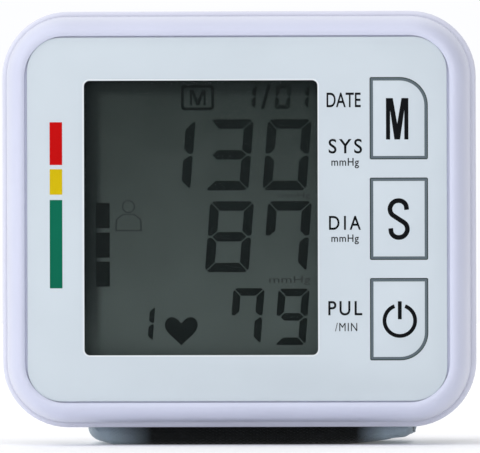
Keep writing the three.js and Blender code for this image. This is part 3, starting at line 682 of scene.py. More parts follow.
@dataclass(frozen=True)
class Moulded:
    """Moulded or painted plastic with a fine spark texture and a little unevenness."""

    name: str
    tone: Tone
    shade: Tone
    roughness: float = 0.35
    grain: float = 0.35
    depth: float = 0.004
    wave: float = 18.0
    wave_depth: float = 0.0
    metallic: float = 0.0
    coat: float = 0.0
    specular: float = 0.5

    def make(self) -> bpy.types.Material:
        """Builds the material.

        Returns:
            The material.
        """
        recipe = Recipe(self.name)
        drift = recipe.cloud(self.wave, 2)
        spark = recipe.cloud(self.grain, 2)
        recipe.set(
            Base_Color=recipe.between(recipe.span(drift, 0, 1), linear(self.tone), linear(self.shade)),
            Roughness=recipe.span(spark, self.roughness * 0.9, self.roughness * 1.12),
            Metallic=self.metallic,
            Coat_Weight=self.coat,
            Coat_Roughness=0.12,
            Specular_IOR_Level=self.specular,
        )
        under = recipe.relief(drift, self.wave_depth) if self.wave_depth else None
        recipe.relief(spark, self.depth, under)
        return recipe.material


@dataclass(frozen=True)
class Woven:
    """Fabric with crossing threads, a soft sheen and, low down, a painted sheen: paler grey-blue towards its
    sides.
    """

    name: str
    tone: Tone
    shade: Tone
    threads: tuple[float, float]
    depth: float = 0.05
    roughness: float = 0.8
    sheen: float = 0.35
    # Painted sheen: worn is the pale grey-blue tone painted on the low ends of the cuff, from the first to
    # the second X on each side, fading above the low Z.
    worn: Tone | None = None
    painted_sheen_from: Point = (0.0, 0.0)
    painted_sheen_to: Point = (0.0, 0.0)
    painted_sheen_above: float = 0.28
    painted_sheen_low: float = 5.0
    painted_sheen_high: float = 14.0

    def make(self) -> bpy.types.Material:
        """Builds the material.

        Returns:
            The material.
        """
        recipe = Recipe(self.name)
        height = recipe.weave(*self.threads)
        drift = recipe.cloud(9, 3)
        colour = recipe.between(recipe.span(height, 0, 1, 0.1, 0.9), linear(self.shade), linear(self.tone))
        colour = recipe.between(recipe.span(drift, 0, 0.35), colour, linear(self.shade))
        # Painted sheen: pale grey-blue towards both ends along X, full low down and weaker higher up.
        if self.worn is not None:
            parts = recipe.axes()
            left, right = (recipe.span(parts["X"], 0, 1, MM * a, MM * b)
                           for a, b in zip(self.painted_sheen_from, self.painted_sheen_to))
            foot = recipe.span(parts["Z"], 1, self.painted_sheen_above, MM * self.painted_sheen_low, MM * self.painted_sheen_high)
            colour = recipe.between(recipe.sum("MULTIPLY", recipe.sum("MAXIMUM", left, right), foot), colour,
                                    linear(self.worn))
        fuzz = recipe.cloud(0.25, 2)
        recipe.set(
            Base_Color=colour,
            Roughness=recipe.span(fuzz, self.roughness * 0.9, min(1.0, self.roughness * 1.1)),
            Sheen_Weight=self.sheen,
            Sheen_Roughness=0.4,
            Specular_IOR_Level=0.3,
        )
        recipe.relief(height, self.depth, recipe.relief(drift, self.depth * 2))
        return recipe.material


@dataclass(frozen=True)
class Napped:
    """Hook or loop pile: a dense random nap."""

    name: str
    tone: Tone
    shade: Tone
    tuft: float = 0.5
    depth: float = 0.25

    def make(self) -> bpy.types.Material:
        """Builds the material.

        Returns:
            The material.
        """
        recipe = Recipe(self.name)
        tufts = recipe.node("ShaderNodeTexVoronoi", {"Vector": recipe.place, "Scale": 1 / (self.tuft * MM)})
        height = recipe.sum("SUBTRACT", 1.0, tufts.outputs["Distance"])
        recipe.set(
            Base_Color=recipe.between(recipe.span(height, 0, 1), linear(self.shade), linear(self.tone)),
            Roughness=recipe.span(height, 1.0, 0.8),
            Sheen_Weight=0.5,
            Specular_IOR_Level=0.2,
        )
        recipe.relief(height, self.depth, recipe.relief(recipe.cloud(2.5), self.depth))
        return recipe.material


@dataclass(frozen=True)
class Panel:
    """The display's glass: paler towards the bottom, and dark at the left and the top in the case's shade."""

    name: str
    top: Tone
    bottom: Tone
    shade: Tone
    left: float
    low: float
    high: float
    shade_left: Point = (2.0, 3.3)
    shade_top: Point = (1.7, 2.9)
    shade_fade: float = 16.0

    def make(self) -> bpy.types.Material:
        """Builds the material.

        Returns:
            The material.
        """
        recipe = Recipe(self.name)
        parts = recipe.axes()
        rise = recipe.span(parts["Z"], 0, 1, self.low, self.high)
        blot = recipe.span(recipe.cloud(7, 2), -0.08, 0.08)
        colour = recipe.between(recipe.sum("ADD", rise, blot), linear(self.bottom), linear(self.top))
        beside = recipe.sum("MULTIPLY", recipe.span(parts["X"], 1, 0, *(self.left + MM * edge
                                                                        for edge in self.shade_left)),
                            recipe.span(parts["Z"], 0.4, 1, self.low, self.low + self.shade_fade * MM))
        under = recipe.span(parts["Z"], 1, 0, *(self.high - MM * edge for edge in self.shade_top))
        recipe.set(
            Base_Color=recipe.between(recipe.sum("MAXIMUM", beside, under), colour, linear(self.shade)),
            Roughness=recipe.span(recipe.cloud(0.4, 1), 0.42, 0.5),
            Specular_IOR_Level=0.1,
        )
        recipe.relief(recipe.cloud(0.3, 1), 0.001)
        return recipe.material


@dataclass(frozen=True)
class Clear:
    """Clear plastic that shows what is behind it."""

    name: str
    tone: Tone
    cover: float

    def make(self) -> bpy.types.Material:
        """Builds the material.

        Returns:
            The material.
        """
        recipe = Recipe(self.name)
        recipe.set(
            Base_Color=recipe.between(recipe.span(recipe.cloud(6), 0, 1), linear(self.tone),
                                      linear(tuple(min(255, value + 6) for value in self.tone))),
            Roughness=recipe.span(recipe.cloud(3), 0.05, 0.09),
            Specular_IOR_Level=0.12,
            Alpha=self.cover,
        )
        recipe.relief(recipe.cloud(5, 1), 0.003)
        return recipe.material


@dataclass(frozen=True)
class Printed(Moulded):
    """Matt ink on the film or on the display, and the painted highlight round the window."""

    roughness: float = 0.5
    grain: float = 0.4
    depth: float = 0.002
    specular: float = 0.08


class Finishes:
    """All materials, each made once."""

    def __init__(self) -> None:
        """Makes every material of the monitor."""
        self.case = Moulded("case_lilac", (207, 211, 231), (203, 207, 227), 0.34, depth=0.002,
                            coat=0.3).make()
        # The rear shell and its door take a paler copy of the case lilac: a painted highlight for the rim,
        # which catches the light.
        self.shell = Moulded("case_lilac_painted_highlight", (217, 219, 234), (213, 215, 230), 0.34, depth=0.002,
                             coat=0.5).make()
        self.film = Moulded("film_print", (204, 214, 221), (200, 210, 217), 0.42, 0.5, 0.0015, 16, 0.03,
                            specular=0.25).make()
        self.ink = Printed("ink_grey", (98, 110, 116), (91, 103, 109)).make()
        # A painted highlight: the pale line round the display window's lit edge.
        self.pale = Printed("pale_painted_highlight", (224, 230, 234), (220, 226, 230), 0.45, specular=0.15).make()
        self.letter = Printed("ink_dark", (7, 10, 14), (4, 6, 9)).make()
        self.red = Printed("ink_red", (196, 0, 2), (188, 0, 0), 0.45).make()
        self.yellow = Printed("ink_yellow", (209, 183, 2), (201, 174, 0), 0.45).make()
        self.green = Printed("ink_green", (0, 105, 79), (0, 98, 73), 0.45).make()
        self.inside = Moulded("white_inner_plastic", (226, 226, 222), (214, 214, 210), 0.55).make()
        self.dark = Moulded("dark_inner_plastic", (40, 42, 45), (30, 32, 35), 0.5, depth=0.008).make()
        self.rubber = Moulded("dark_rubber", (34, 35, 38), (26, 27, 30), 0.8, 0.3, 0.01).make()
        self.hose = Moulded("clear_hose", (208, 208, 200), (194, 194, 186), 0.4, 0.6, 0.004).make()
        self.steel = Moulded("screw_steel", (150, 154, 160), (128, 132, 138), 0.3, 0.2, 0.002,
                             metallic=1).make()
        self.can = Moulded("motor_can", (176, 178, 182), (158, 160, 165), 0.35, 0.3, 0.003, metallic=1).make()
        self.contact = Moulded("contact_nickel", (196, 184, 150), (176, 164, 130), 0.3, 0.25, 0.002,
                               metallic=1).make()
        self.board = Moulded("board_green", (24, 92, 60), (18, 78, 50), 0.4, 0.6, 0.004).make()
        self.sleeve = Moulded("cell_sleeve", (44, 92, 146), (34, 78, 130), 0.3, 0.5, 0.003, coat=0.4).make()
        self.lens = Clear("lens_clear", (40, 44, 46), 0.04).make()
        self.segment = Printed("segment_black", (12, 21, 20), (9, 17, 16), 0.5, 0.3, 0.001).make()
        self.ghost = Printed("segment_off", (47, 54, 52), (43, 50, 48), 0.5, 0.3, 0.001).make()
        # The cuff's worn tone is a painted sheen on its low ends.
        self.cuff = Woven("cuff_black", (17, 22, 21), (8, 11, 11), (150, 600), worn=(170, 187, 198),
                          painted_sheen_from=(-16.0, 20.8), painted_sheen_to=(-24.0, 26.0)).make()
        self.curler = Moulded("curler_white", (214, 214, 208), (202, 202, 196), 0.6).make()
        self.lining = Woven("lining_grey", (84, 98, 108), (60, 72, 81), (110, 400), 0.04, sheen=0.5).make()
        self.webbing = Woven("webbing_black", (24, 28, 29), (10, 13, 13), (24, 8), 0.12).make()
        self.tape = Woven("tape_black", (26, 31, 32), (12, 15, 16), (110, 9), 0.05).make()
        self.binding = Woven("binding_grey", (66, 77, 86), (48, 57, 65), (6, 300), 0.05).make()
        self.thread = Moulded("thread_grey", (58, 66, 70), (44, 51, 55), 0.7, 0.15, 0.01).make()
        self.hook = Napped("hook_black", (40, 45, 48), (20, 24, 26), 0.9, 0.3).make()
        self.loop = Napped("loop_black", (36, 41, 44), (16, 20, 22), 0.45, 0.2).make()


@dataclass
class Housing:
    """The two shells, the door, the printed face and the display's lens."""

    finishes: Finishes
    origin: Vector
    case_corner: float = 11.8
    parting: float = 10.0
    parting_gap: float = 0.3
    rim_proud: float = 0.9
    rim_edge: float = 0.75
    rim_steps: int = 5
    rim_depth: float = 2.5
    taper_x: float = 6.5
    taper_z: float = 13.0
    taper_steps: int = 14
    wall: float = 2.0
    front_wall: float = 2.4
    bezel_round: float = 2.9
    bezel_steps: int = 16
    bezel_dish: float = 0.9
    dish_steps: int = 5
    plate_front: float = 1.0
    plate_back: float = 2.2
    film_front: float = 0.45
    film_depth: float = 0.45
    film_corner: float = 6.3
    film_trim: float = 0.27
    film_gap: float = 0.2
    key_gap: float = 0.15
    key_room: float = 0.3
    key_corners: Point = (0.15, 4.9)
    window_frame: float = 1.4
    window_corner: float = 1.0
    sight_room: float = 0.8
    rebate_room: float = 3.2
    rebate_depth: float = 1.6
    lens_gap: float = 0.2
    lens_corner: float = 0.9
    lens_step: float = 0.25
    flange_room: float = 2.8
    flange_depth: float = 0.5
    bay_gap: float = 0.3
    bay_end_gap: float = 0.1
    rib: float = 1.2
    floor_rib: float = 1.0
    door_gap: float = 0.15
    ridge_size: tuple[float, float] = (0.35, 5.0)
    ridge_pitch: float = 1.8
    ridge_sink: float = 0.7
    well_start: float = 13.8
    well_wall: float = 0.9
    hole_start: float = 17.0
    hole_gap: float = 0.3
    screw_head: float = 1.4
    screw_shank: float = 1.1
    screw_slot: Point = (1.1, 0.22)
    slot_depth: float = 0.8
    shell_round: float = 0.15
    door_round: float = 0.2
    film_round: float = 0.08
    lens_round: float = 0.06
    fine_edge: float = 50.0
    smooth_edge: float = 30.0

    def __post_init__(self) -> None:
        """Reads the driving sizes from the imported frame."""
        low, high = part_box("rear_cover")
        self.width = (high.x - low.x) / MM
        self.height = (high.z - low.z) / MM
        self.depth = (high.y - self.origin.y) / MM
        low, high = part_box("face_film")
        self.film_width = (high.x - low.x) / MM
        self.film_height = (high.z - low.z) / MM
        self.front_end = self.parting - self.parting_gap / 2
        self.rear_start = self.parting + self.parting_gap / 2
        self.taper_start = self.rear_start + self.rim_depth
        self.window = self.face_box("display_window", -self.window_frame)
        self.keys = {name: self.face_box(f"key_{name}") for name in KEYS}

    def face_box(self, node: str, grow: float = 0) -> tuple[float, float, float, float]:
        """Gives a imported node's middle, width and height seen from the front, grown on every side."""
        low, high = measured(node, self.origin)
        return ((low.x + high.x) / 2, (low.z + high.z) / 2, high.x - low.x + 2 * grow,
                high.z - low.z + 2 * grow)

    def pane(self, name: str, grow: float, corner: float, y: float, depth: float) -> Workpiece:
        """Adds a slab in the window's outline, grown in all, with its corner radius, front and thickness."""
        x, z, width, height = self.window
        return Workpiece.plate(name, width + grow, height + grow, corner, x, z, y).thicken(depth)

    def key_plate(self, name: str, title: str, margin: float, y: float) -> Workpiece:
        """Adds a plate in the outline of a key, of which the outermost corner is rounded most.

        Args:
            name: The key's name.
            title: The piece's name.
            margin: How far the outline is moved out.
            y: Depth at which it stands.

        Returns:
            The flat plate.
        """
        x, z, width, height = self.keys[name]
        small, large = (max(radius + margin, 0.02) for radius in self.key_corners)
        outermost = {"memory": 0, "power": 3}.get(name)
        radii = [large if index == outermost else small for index in range(4)]
        return Workpiece.plate(title, width + 2 * margin, height + 2 * margin, radii, x, z, y)

    def openings(self, margin: float, depth: float) -> list[Workpiece]:
        """Adds a cutter for each key, moved out by a margin, from the very front to a depth."""
        return [self.key_plate(name, "opening", margin, 0).thicken(depth) for name in self.keys]

    def front_shell(self) -> None:
        """Models the front shell: a rounded bezel that dips to the film."""
        shell = Workpiece.plate("front_bezel", self.width - 2 * self.rim_proud,
                                self.height - 2 * self.rim_proud, self.case_corner - self.rim_proud,
                                y=self.front_end)
        with shell.editing("FACE"):
            bpy.ops.mesh.select_all(action="SELECT")
            inset, front = 0.0, self.front_end
            for inside, along in quarter(self.bezel_steps):
                next_inset, next_front = self.bezel_round * inside, self.front_end * (1 - along)
                if inset:
                    bpy.ops.mesh.inset(thickness=next_inset - inset, depth=front - next_front)
                else:
                    shell.push(y=next_front - front)
                inset, front = next_inset, next_front
            dip = self.bezel_dish - self.film_gap
            for step in range(1, self.dish_steps + 1):
                next_front = self.film_front * (step / self.dish_steps * dip / self.bezel_dish) ** 2
                bpy.ops.mesh.inset(thickness=dip / self.dish_steps, depth=front - next_front)
                front = next_front
            shell.push(y=self.plate_front - front)
            shell.pick_end(1)
            bpy.ops.mesh.inset(thickness=self.front_wall)
            shell.push(y=self.plate_back - self.front_end)
        sight = self.pane("sight", self.sight_room, self.window_corner, self.plate_front - 1, 3)
        rebate = self.pane("rebate", self.rebate_room, self.window_corner, 0, self.rebate_depth)
        shell.combine(Cut.AWAY, sight, rebate, *self.openings(self.key_room, 4)).smooth(self.smooth_edge)
        shell.settle(self.origin, self.finishes.case, "case", stands_for=["front_cover"])

    def rear_form(self, name: str, offset: float) -> Workpiece:
        """Models the rear shell's rounded form.

        Args:
            name: The piece's name.
            offset: How far its surface lies inside the outer one.

        Returns:
            The closed form.
        """
        start = self.rear_start + self.rim_edge
        form = Workpiece.plate(name, self.width - 2 * offset, self.height - 2 * offset,
                               self.case_corner - offset, y=start, back=True)
        with form.editing("FACE"):
            bpy.ops.mesh.select_all(action="SELECT")
            form.push(y=self.taper_start - start)
            depth = self.depth - self.taper_start - offset
            before, slope = self.taper_start, 0.0
            for now, along in quarter(self.taper_steps):
                after, more = self.taper_start + depth * along, now - slope
                form.push(y=after - before, narrow=(self.taper_x * more, self.taper_z * more))
                before, slope = after, now
            form.pick_end(-1)
            if offset:
                form.push(y=-2 * self.rim_edge - 2)
            else:
                self.roll_rim()
        return form.face_out()

    def roll_rim(self) -> None:
        """Rounds the edge of the selected face and brings it forward."""
        inset, front = 0.0, 0.0
        for inside, along in quarter(self.rim_steps):
            next_inset, next_front = self.rim_edge * inside, self.rim_edge * along
            bpy.ops.mesh.inset(thickness=next_inset - inset, depth=next_front - front)
            inset, front = next_inset, next_front

    def door_block(self, grow: float) -> Workpiece:
        """Adds the block that the battery door is cut with, grown on every side but the left."""
        low, high = measured("battery_door", self.origin)
        return Workpiece.block("door_block", (-self.width, low.y - grow, low.z - grow),
                               (high.x + grow, high.y + grow, high.z + grow))

    def fittings(self) -> Workpiece:
        """Models the battery bay's ribs and the screw wells, trimmed to the shell.

        Returns:
            All of them as one solid.
        """
        right = measured("battery_cell_2", self.origin)[1].x + self.bay_gap
        end = measured("contact_bridge", self.origin)[1].z + self.bay_end_gap
        left, back, outer = -self.width / 2, self.depth - self.wall / 2, end + self.rib
        parts = [
            Workpiece.block("rib", (start, self.rear_start, low), (right + self.rib, stop, high))
            for start, stop, low, high in (
                (right, back, -outer, outer),
                (left, back, end, outer),
                (left, back, -outer, -end),
                (left, self.rear_start + self.floor_rib, -outer, outer),
            )
        ]
        for index in SCREWS:
            x, z, size, _ = self.face_box(f"case_screw_{index}")
            well = Workpiece.disc("well", size / 2 + self.well_wall, x, self.well_start, z)
            parts.append(well.thicken(back - self.well_start))
        whole = parts[0].combine(Cut.TOGETHER, *parts[1:])
        return whole.combine(Cut.COMMON, self.rear_form("trim", self.wall / 2))

    def screw_hole(self, index: int) -> Workpiece:
        """Adds the cutter for one of the four screw holes."""
        x, z, size, _ = self.face_box(f"case_screw_{index}")
        return Workpiece.disc("hole", size / 2 + self.hole_gap, x, self.hole_start, z).thicken(self.depth)

    def rear_shell(self) -> None:
        """Models the rear shell with its battery bay and screw wells, and the door in it."""
        shell = self.rear_form("rear_housing", 0).combine(Cut.AWAY, self.rear_form("hollow", self.wall))
        door = shell.copy("bay_door")
        shell.combine(Cut.TOGETHER, self.fittings())
        holes = [self.screw_hole(index) for index in SCREWS]
        shell.combine(Cut.AWAY, self.door_block(self.door_gap), *holes)
        shell.soften(self.shell_round, 2, self.fine_edge).smooth(self.smooth_edge)
        shell.settle(self.origin, self.finishes.shell, "case", stands_for=["rear_cover"])
        self.finish_door(door)

    def finish_door(self, door: Workpiece) -> None:
        """Cuts the battery door from the shell and adds its thumb ridges.

        Args:
            door: A copy of the whole rear shell.
        """
        door.combine(Cut.COMMON, self.door_block(0)).soften(self.door_round, 2, self.fine_edge)
        x = -self.width / 2 + self.ridge_sink
        y = (door.obj.bound_box[0][1] + door.obj.bound_box[6][1]) / 2
        for step in (-1, 0, 1):
            ridge = Workpiece.rod("ridge", *self.ridge_size, (x, y, self.ridge_pitch * step),
                                  (QUARTER, 0, 0), 16)
            door.combine(Cut.TOGETHER, ridge.soften(self.shell_round))
        door.smooth(self.smooth_edge)
        door.settle(self.origin, self.finishes.shell, "case", Body.DOOR, ["battery_door"])

    def screws(self) -> None:
        """Models one pan-head screw with a cross recess and copies it to the four wells."""
        size = self.face_box("case_screw_1")[2]
        low, high = (corner.y for corner in measured("case_screw_1", self.origin))
        screw = Workpiece.disc("case_screw_head", size / 2, 0, high - self.screw_head, 0)
        screw.thicken(self.screw_head).soften(0.35, 4)
        shank = Workpiece.disc("shank", self.screw_shank, 0, low, 0).thicken(high - 1 - low)
        bars = [Workpiece.block("bar", (-a, high - self.slot_depth, -b), (a, high + 1, b))
                for a, b in (self.screw_slot, self.screw_slot[::-1])]
        screw.combine(Cut.TOGETHER, shank).combine(Cut.AWAY, *bars).smooth(40)
        for index in SCREWS:
            x, z, _, _ = self.face_box(f"case_screw_{index}")
            made = screw.copy(f"well_screw_{index}")
            made.obj.data.transform(Matrix.Translation((x, 0, z)))
            made.settle(self.origin, self.finishes.steel, "steel", stands_for=[f"case_screw_{index}"])
        bpy.data.objects.remove(screw.obj)

    def film(self) -> None:
        """Models the printed film with its openings for the lens and the keys."""
        film = Workpiece.plate("printed_film", self.film_width - 2 * self.film_trim,
                               self.film_height - 2 * self.film_trim, self.film_corner - self.film_trim,
                               y=self.film_front)
        film.thicken(self.film_depth).soften(self.film_round, 2, self.fine_edge)
        pane = self.pane("pane", 0, self.window_corner, 0, 2)
        film.combine(Cut.AWAY, pane, *self.openings(self.key_gap, 2)).smooth(self.smooth_edge)
        film.settle(self.origin, self.finishes.film, "film", stands_for=["face_film"])

    def lens(self) -> None:
        """Models the clear lens with its flange behind the film."""
        lens = self.pane("clear_lens", -self.lens_gap, self.lens_corner, self.film_front,
                         self.plate_front + self.lens_step - self.film_front)
        flange = self.pane("flange", self.flange_room, self.window_corner, self.plate_front,
                           self.flange_depth)
        lens.combine(Cut.TOGETHER, flange).soften(self.lens_round).smooth(self.smooth_edge)
        lens.settle(self.origin, self.finishes.lens, "lens", stands_for=["display_window"])

    def build(self) -> None:
        """Models and finishes every piece of the housing."""
        self.front_shell()
        self.rear_shell()
        self.screws()
        self.film()
        self.lens()


class Segment(Enum):
    """The seven bars of a digit, from the top, clockwise, and then the middle one."""

    TOP = 0
    UPPER_RIGHT = 1
    LOWER_RIGHT = 2
    BOTTOM = 3
    LOWER_LEFT = 4
    UPPER_LEFT = 5
    MIDDLE = 6


LIT = {
    "0": (0, 1, 2, 3, 4, 5),
    "1": (1, 2),
    "3": (0, 1, 2, 3, 6),
    "7": (0, 1, 2, 5),
    "8": (0, 1, 2, 3, 4, 5, 6),
    "9": (0, 1, 2, 3, 5, 6),
}


@dataclass(frozen=True)
class DigitSize:
    """Measures of one size of digit."""

    width: float
    height: float
    bar: float
    gap: float = 0.12
    break_half: float = 0.19
    slant: float = 0.08


@dataclass
class Display:
    """The display's panel, its digits and its small marks."""

    finishes: Finishes
    origin: Vector
    housing: Housing
    front: float = 2.9
    glass_depth: float = 2.0
    lift: float = 0.02
    depth: float = 0.015
    large: DigitSize = DigitSize(7.85, 12.7, 1.7)
    pulse: DigitSize = DigitSize(5.6, 10.1, 1.36)
    small: DigitSize = DigitSize(2.75, 4.4, 0.74, 0.06, 0.1)
    index: DigitSize = DigitSize(3.2, 6.3, 0.92, 0.08, 0.12)

    @property
    def ink(self) -> float:
        """Depth of the front of the lit marks."""
        return self.front - self.lift

    def bar_points(self, size: DigitSize, segment: Segment) -> list[Point]:
        """Gives the corners of one bar.

        Args:
            size: The digit's measures.
            segment: Which bar.

        Returns:
            The corners round the digit's middle, before the slant.
        """
        wide, high, bar, gap = size.width / 2, size.height / 2, size.bar, size.gap
        worn, middle = bar * 0.32, size.break_half
        if segment in (Segment.TOP, Segment.BOTTOM):
            side = [(worn + gap, 0), (worn / 2 + gap, -worn / 2), (bar + gap, -bar)]
            points = [(-wide + x, high + z) for x, z in side] + [(wide - x, high + z) for x, z in side[::-1]]
            return [(x, -z if segment is Segment.BOTTOM else z) for x, z in points]
        if segment is Segment.MIDDLE:
            tip, flat = wide - bar * 0.45 - gap, wide - bar - gap
            return [(-tip, 0), (-flat, -bar / 2), (flat, -bar / 2), (tip, 0), (flat, bar / 2),
                    (-flat, bar / 2)]
        points = [(wide, high - worn - gap), (wide - worn / 2, high - worn / 2 - gap),
                  (wide - bar, high - bar - gap), (wide - bar, bar / 2 + middle),
                  (wide - bar * 0.45, middle), (wide - worn / 2, middle), (wide, middle + worn / 2)]
        left = segment in (Segment.UPPER_LEFT, Segment.LOWER_LEFT)
        low = segment in (Segment.LOWER_LEFT, Segment.LOWER_RIGHT)
        return [(-x if left else x, -z if low else z) for x, z in points]

    def digit(self, sign: str, size: DigitSize, x: float, z: float) -> list[Workpiece]:
        """Models one digit.

        Args:
            sign: The digit.
            size: Its measures.
            x: Its middle along X.
            z: Its middle along Z.

        Returns:
            Its bars.
        """
        bars = []
        for number in LIT[sign]:
            points = self.bar_points(size, Segment(number))
            bars.append(Workpiece.outline("bar", [(x + px + size.slant * pz, z + pz) for px, pz in points],
                                          self.ink, self.depth))
        return bars

    def frame_mark(self, x: float, z: float, width: float, height: float, stroke: float) -> Workpiece:
        """Models a rectangular frame with a letter-sized opening.

        Args:
            x: Its middle along X.
            z: Its middle along Z.
            width: Outer width.
            height: Outer height.
            stroke: Width of its line.

        Returns:
            The frame.
        """
        outer = Workpiece.plate("frame", width, height, 0.7, x, z, self.ink).thicken(self.depth)
        inner = Workpiece.plate("inner", width - 2 * stroke, height - 2 * stroke, 0.4, x, z, self.ink - 1)
        return outer.combine(Cut.AWAY, inner.thicken(2))

    def line_of(self, name: str, points: Sequence[Point], share: float) -> Workpiece:
        """Models the outline of a shape as a thin line.

        Args:
            name: The line's name.
            points: Its corners, anticlockwise seen from the front.
            share: Size of the opening as a share of the shape.

        Returns:
            The line.
        """
        line = Workpiece.outline(name, points, self.ink, self.depth)
        x, z = (sum(point[axis] for point in points) / len(points) for axis in range(2))
        inner = [(x + (px - x) * share, z + (pz - z) * share) for px, pz in points]
        return line.combine(Cut.AWAY, Workpiece.outline("inner", inner, self.ink - 1, 2))

    def heart(self, x: float, z: float, width: float, height: float, steps: int = 40) -> Workpiece:
        """Models the heart mark.

        Args:
            x: Its middle along X.
            z: Its middle along Z.
            width: Its width.
            height: Its height.
            steps: Points round it.

        Returns:
            The mark.
        """
        raw = []
        for step in range(steps):
            angle = 2 * math.pi * step / steps
            side = math.copysign(abs(math.sin(angle)) ** 2.3, math.sin(angle))
            rise = (13 * math.cos(angle) - 5 * math.cos(2 * angle)
                    - 2 * math.cos(3 * angle) - math.cos(4 * angle))
            raw.append((side / 2, rise))
        low, high = min(point[1] for point in raw), max(point[1] for point in raw)
        points = [(x + px * width, z + (pz - (low + high) / 2) * height / (high - low)) for px, pz in raw]
        return Workpiece.outline("heart", points, self.ink, self.depth)

    def panel(self) -> None:
        """Models the display's glass with a ground edge."""
        x, z, width, height = self.housing.window
        finish = Panel("panel_grey", (40, 49, 46), (75, 85, 82), (28, 36, 35),
                       left=self.origin.x + (x - width / 2) * MM,
                       low=self.origin.z + (z - height / 2) * MM,
                       high=self.origin.z + (z + height / 2) * MM).make()
        x, z, width, height = self.housing.face_box("lcd_glass")
        glass = Workpiece.plate("display_panel", width, height, 0.3, x, z, self.front)
        glass.thicken(self.glass_depth).soften(0.15).smooth(30)
        glass.settle(self.origin, finish, "display_glass", stands_for=["lcd_glass"])

    def marks(self) -> None:
        """Models the lit digits and marks."""
        parts = []
        for sign, size, x, z in (
            ("1", self.large, -11.86, 11.5), ("3", self.large, -1.45, 11.5), ("0", self.large, 8.9, 11.5),
            ("8", self.large, -1.45, -3.15), ("7", self.large, 8.9, -3.15),
            ("7", self.pulse, 1.65, -17.4), ("9", self.pulse, 9.7, -17.5),
            ("1", self.small, 2.0, 21.88), ("0", self.small, 8.2, 21.88), ("1", self.small, 11.5, 21.88),
            ("1", self.index, -16.6, -18.67),
        ):
            parts += self.digit(sign, size, x, z)
        parts.append(Workpiece.outline("slash", [(4.2, 19.7), (4.85, 19.7), (6.05, 24.05), (5.4, 24.05)],
                                       self.ink, self.depth))
        parts.append(self.heart(-10.1, -20.05, 5.9, 5.1))
        parts.append(self.frame_mark(-7.1, 21.75, 5.95, 4.55, 0.52))
        parts.append(Workpiece.letter_m((-7.05, 21.75), (2.85, 2.75), 0.6, self.ink, self.depth))
        left, right = -25.35, -22.88
        for low, high in ((-1.56, 2.96), (-6.85, -2.34), (-12.01, -7.54)):
            parts.append(Workpiece.outline("block", [(left, high), (left, low), (right, low), (right, high)],
                                           self.ink, self.depth))
        whole = parts[0].join(*parts[1:]).named("lit_segments")
        whole.settle(self.origin, self.finishes.segment, "display_glass")

    def ghosts(self) -> None:
        """Models the marks that are off and only just show."""
        trunk = [(-21.9, -2.1), (-17.1, -2.1), (-17.2, 0.0), (-18.4, 0.95), (-20.6, 0.95), (-21.8, 0.0)]
        x, z, radius, sides = -19.5, 2.3, 1.2, 20
        turns = [math.tau * step / sides for step in range(sides)]
        head = [(x + radius * math.cos(turn), z + radius * math.sin(turn)) for turn in turns]
        parts = [
            Workpiece.words("unit", "mmHg", (9.35, -11.0), (7.4, 1.6), self.ink, self.depth),
            Workpiece.words("unit", "mmHg", (10.2, 4.1), (5.7, 1.2), self.ink, self.depth),
            self.line_of("trunk", trunk, 0.88),
            self.line_of("head", head, 0.8),
        ]
        whole = parts[0].join(*parts[1:]).named("faint_marks")
        whole.settle(self.origin, self.finishes.ghost, "display_glass")

    def build(self) -> None:
        """Models and finishes every piece of the display."""
        self.panel()
        self.marks()
        self.ghosts()


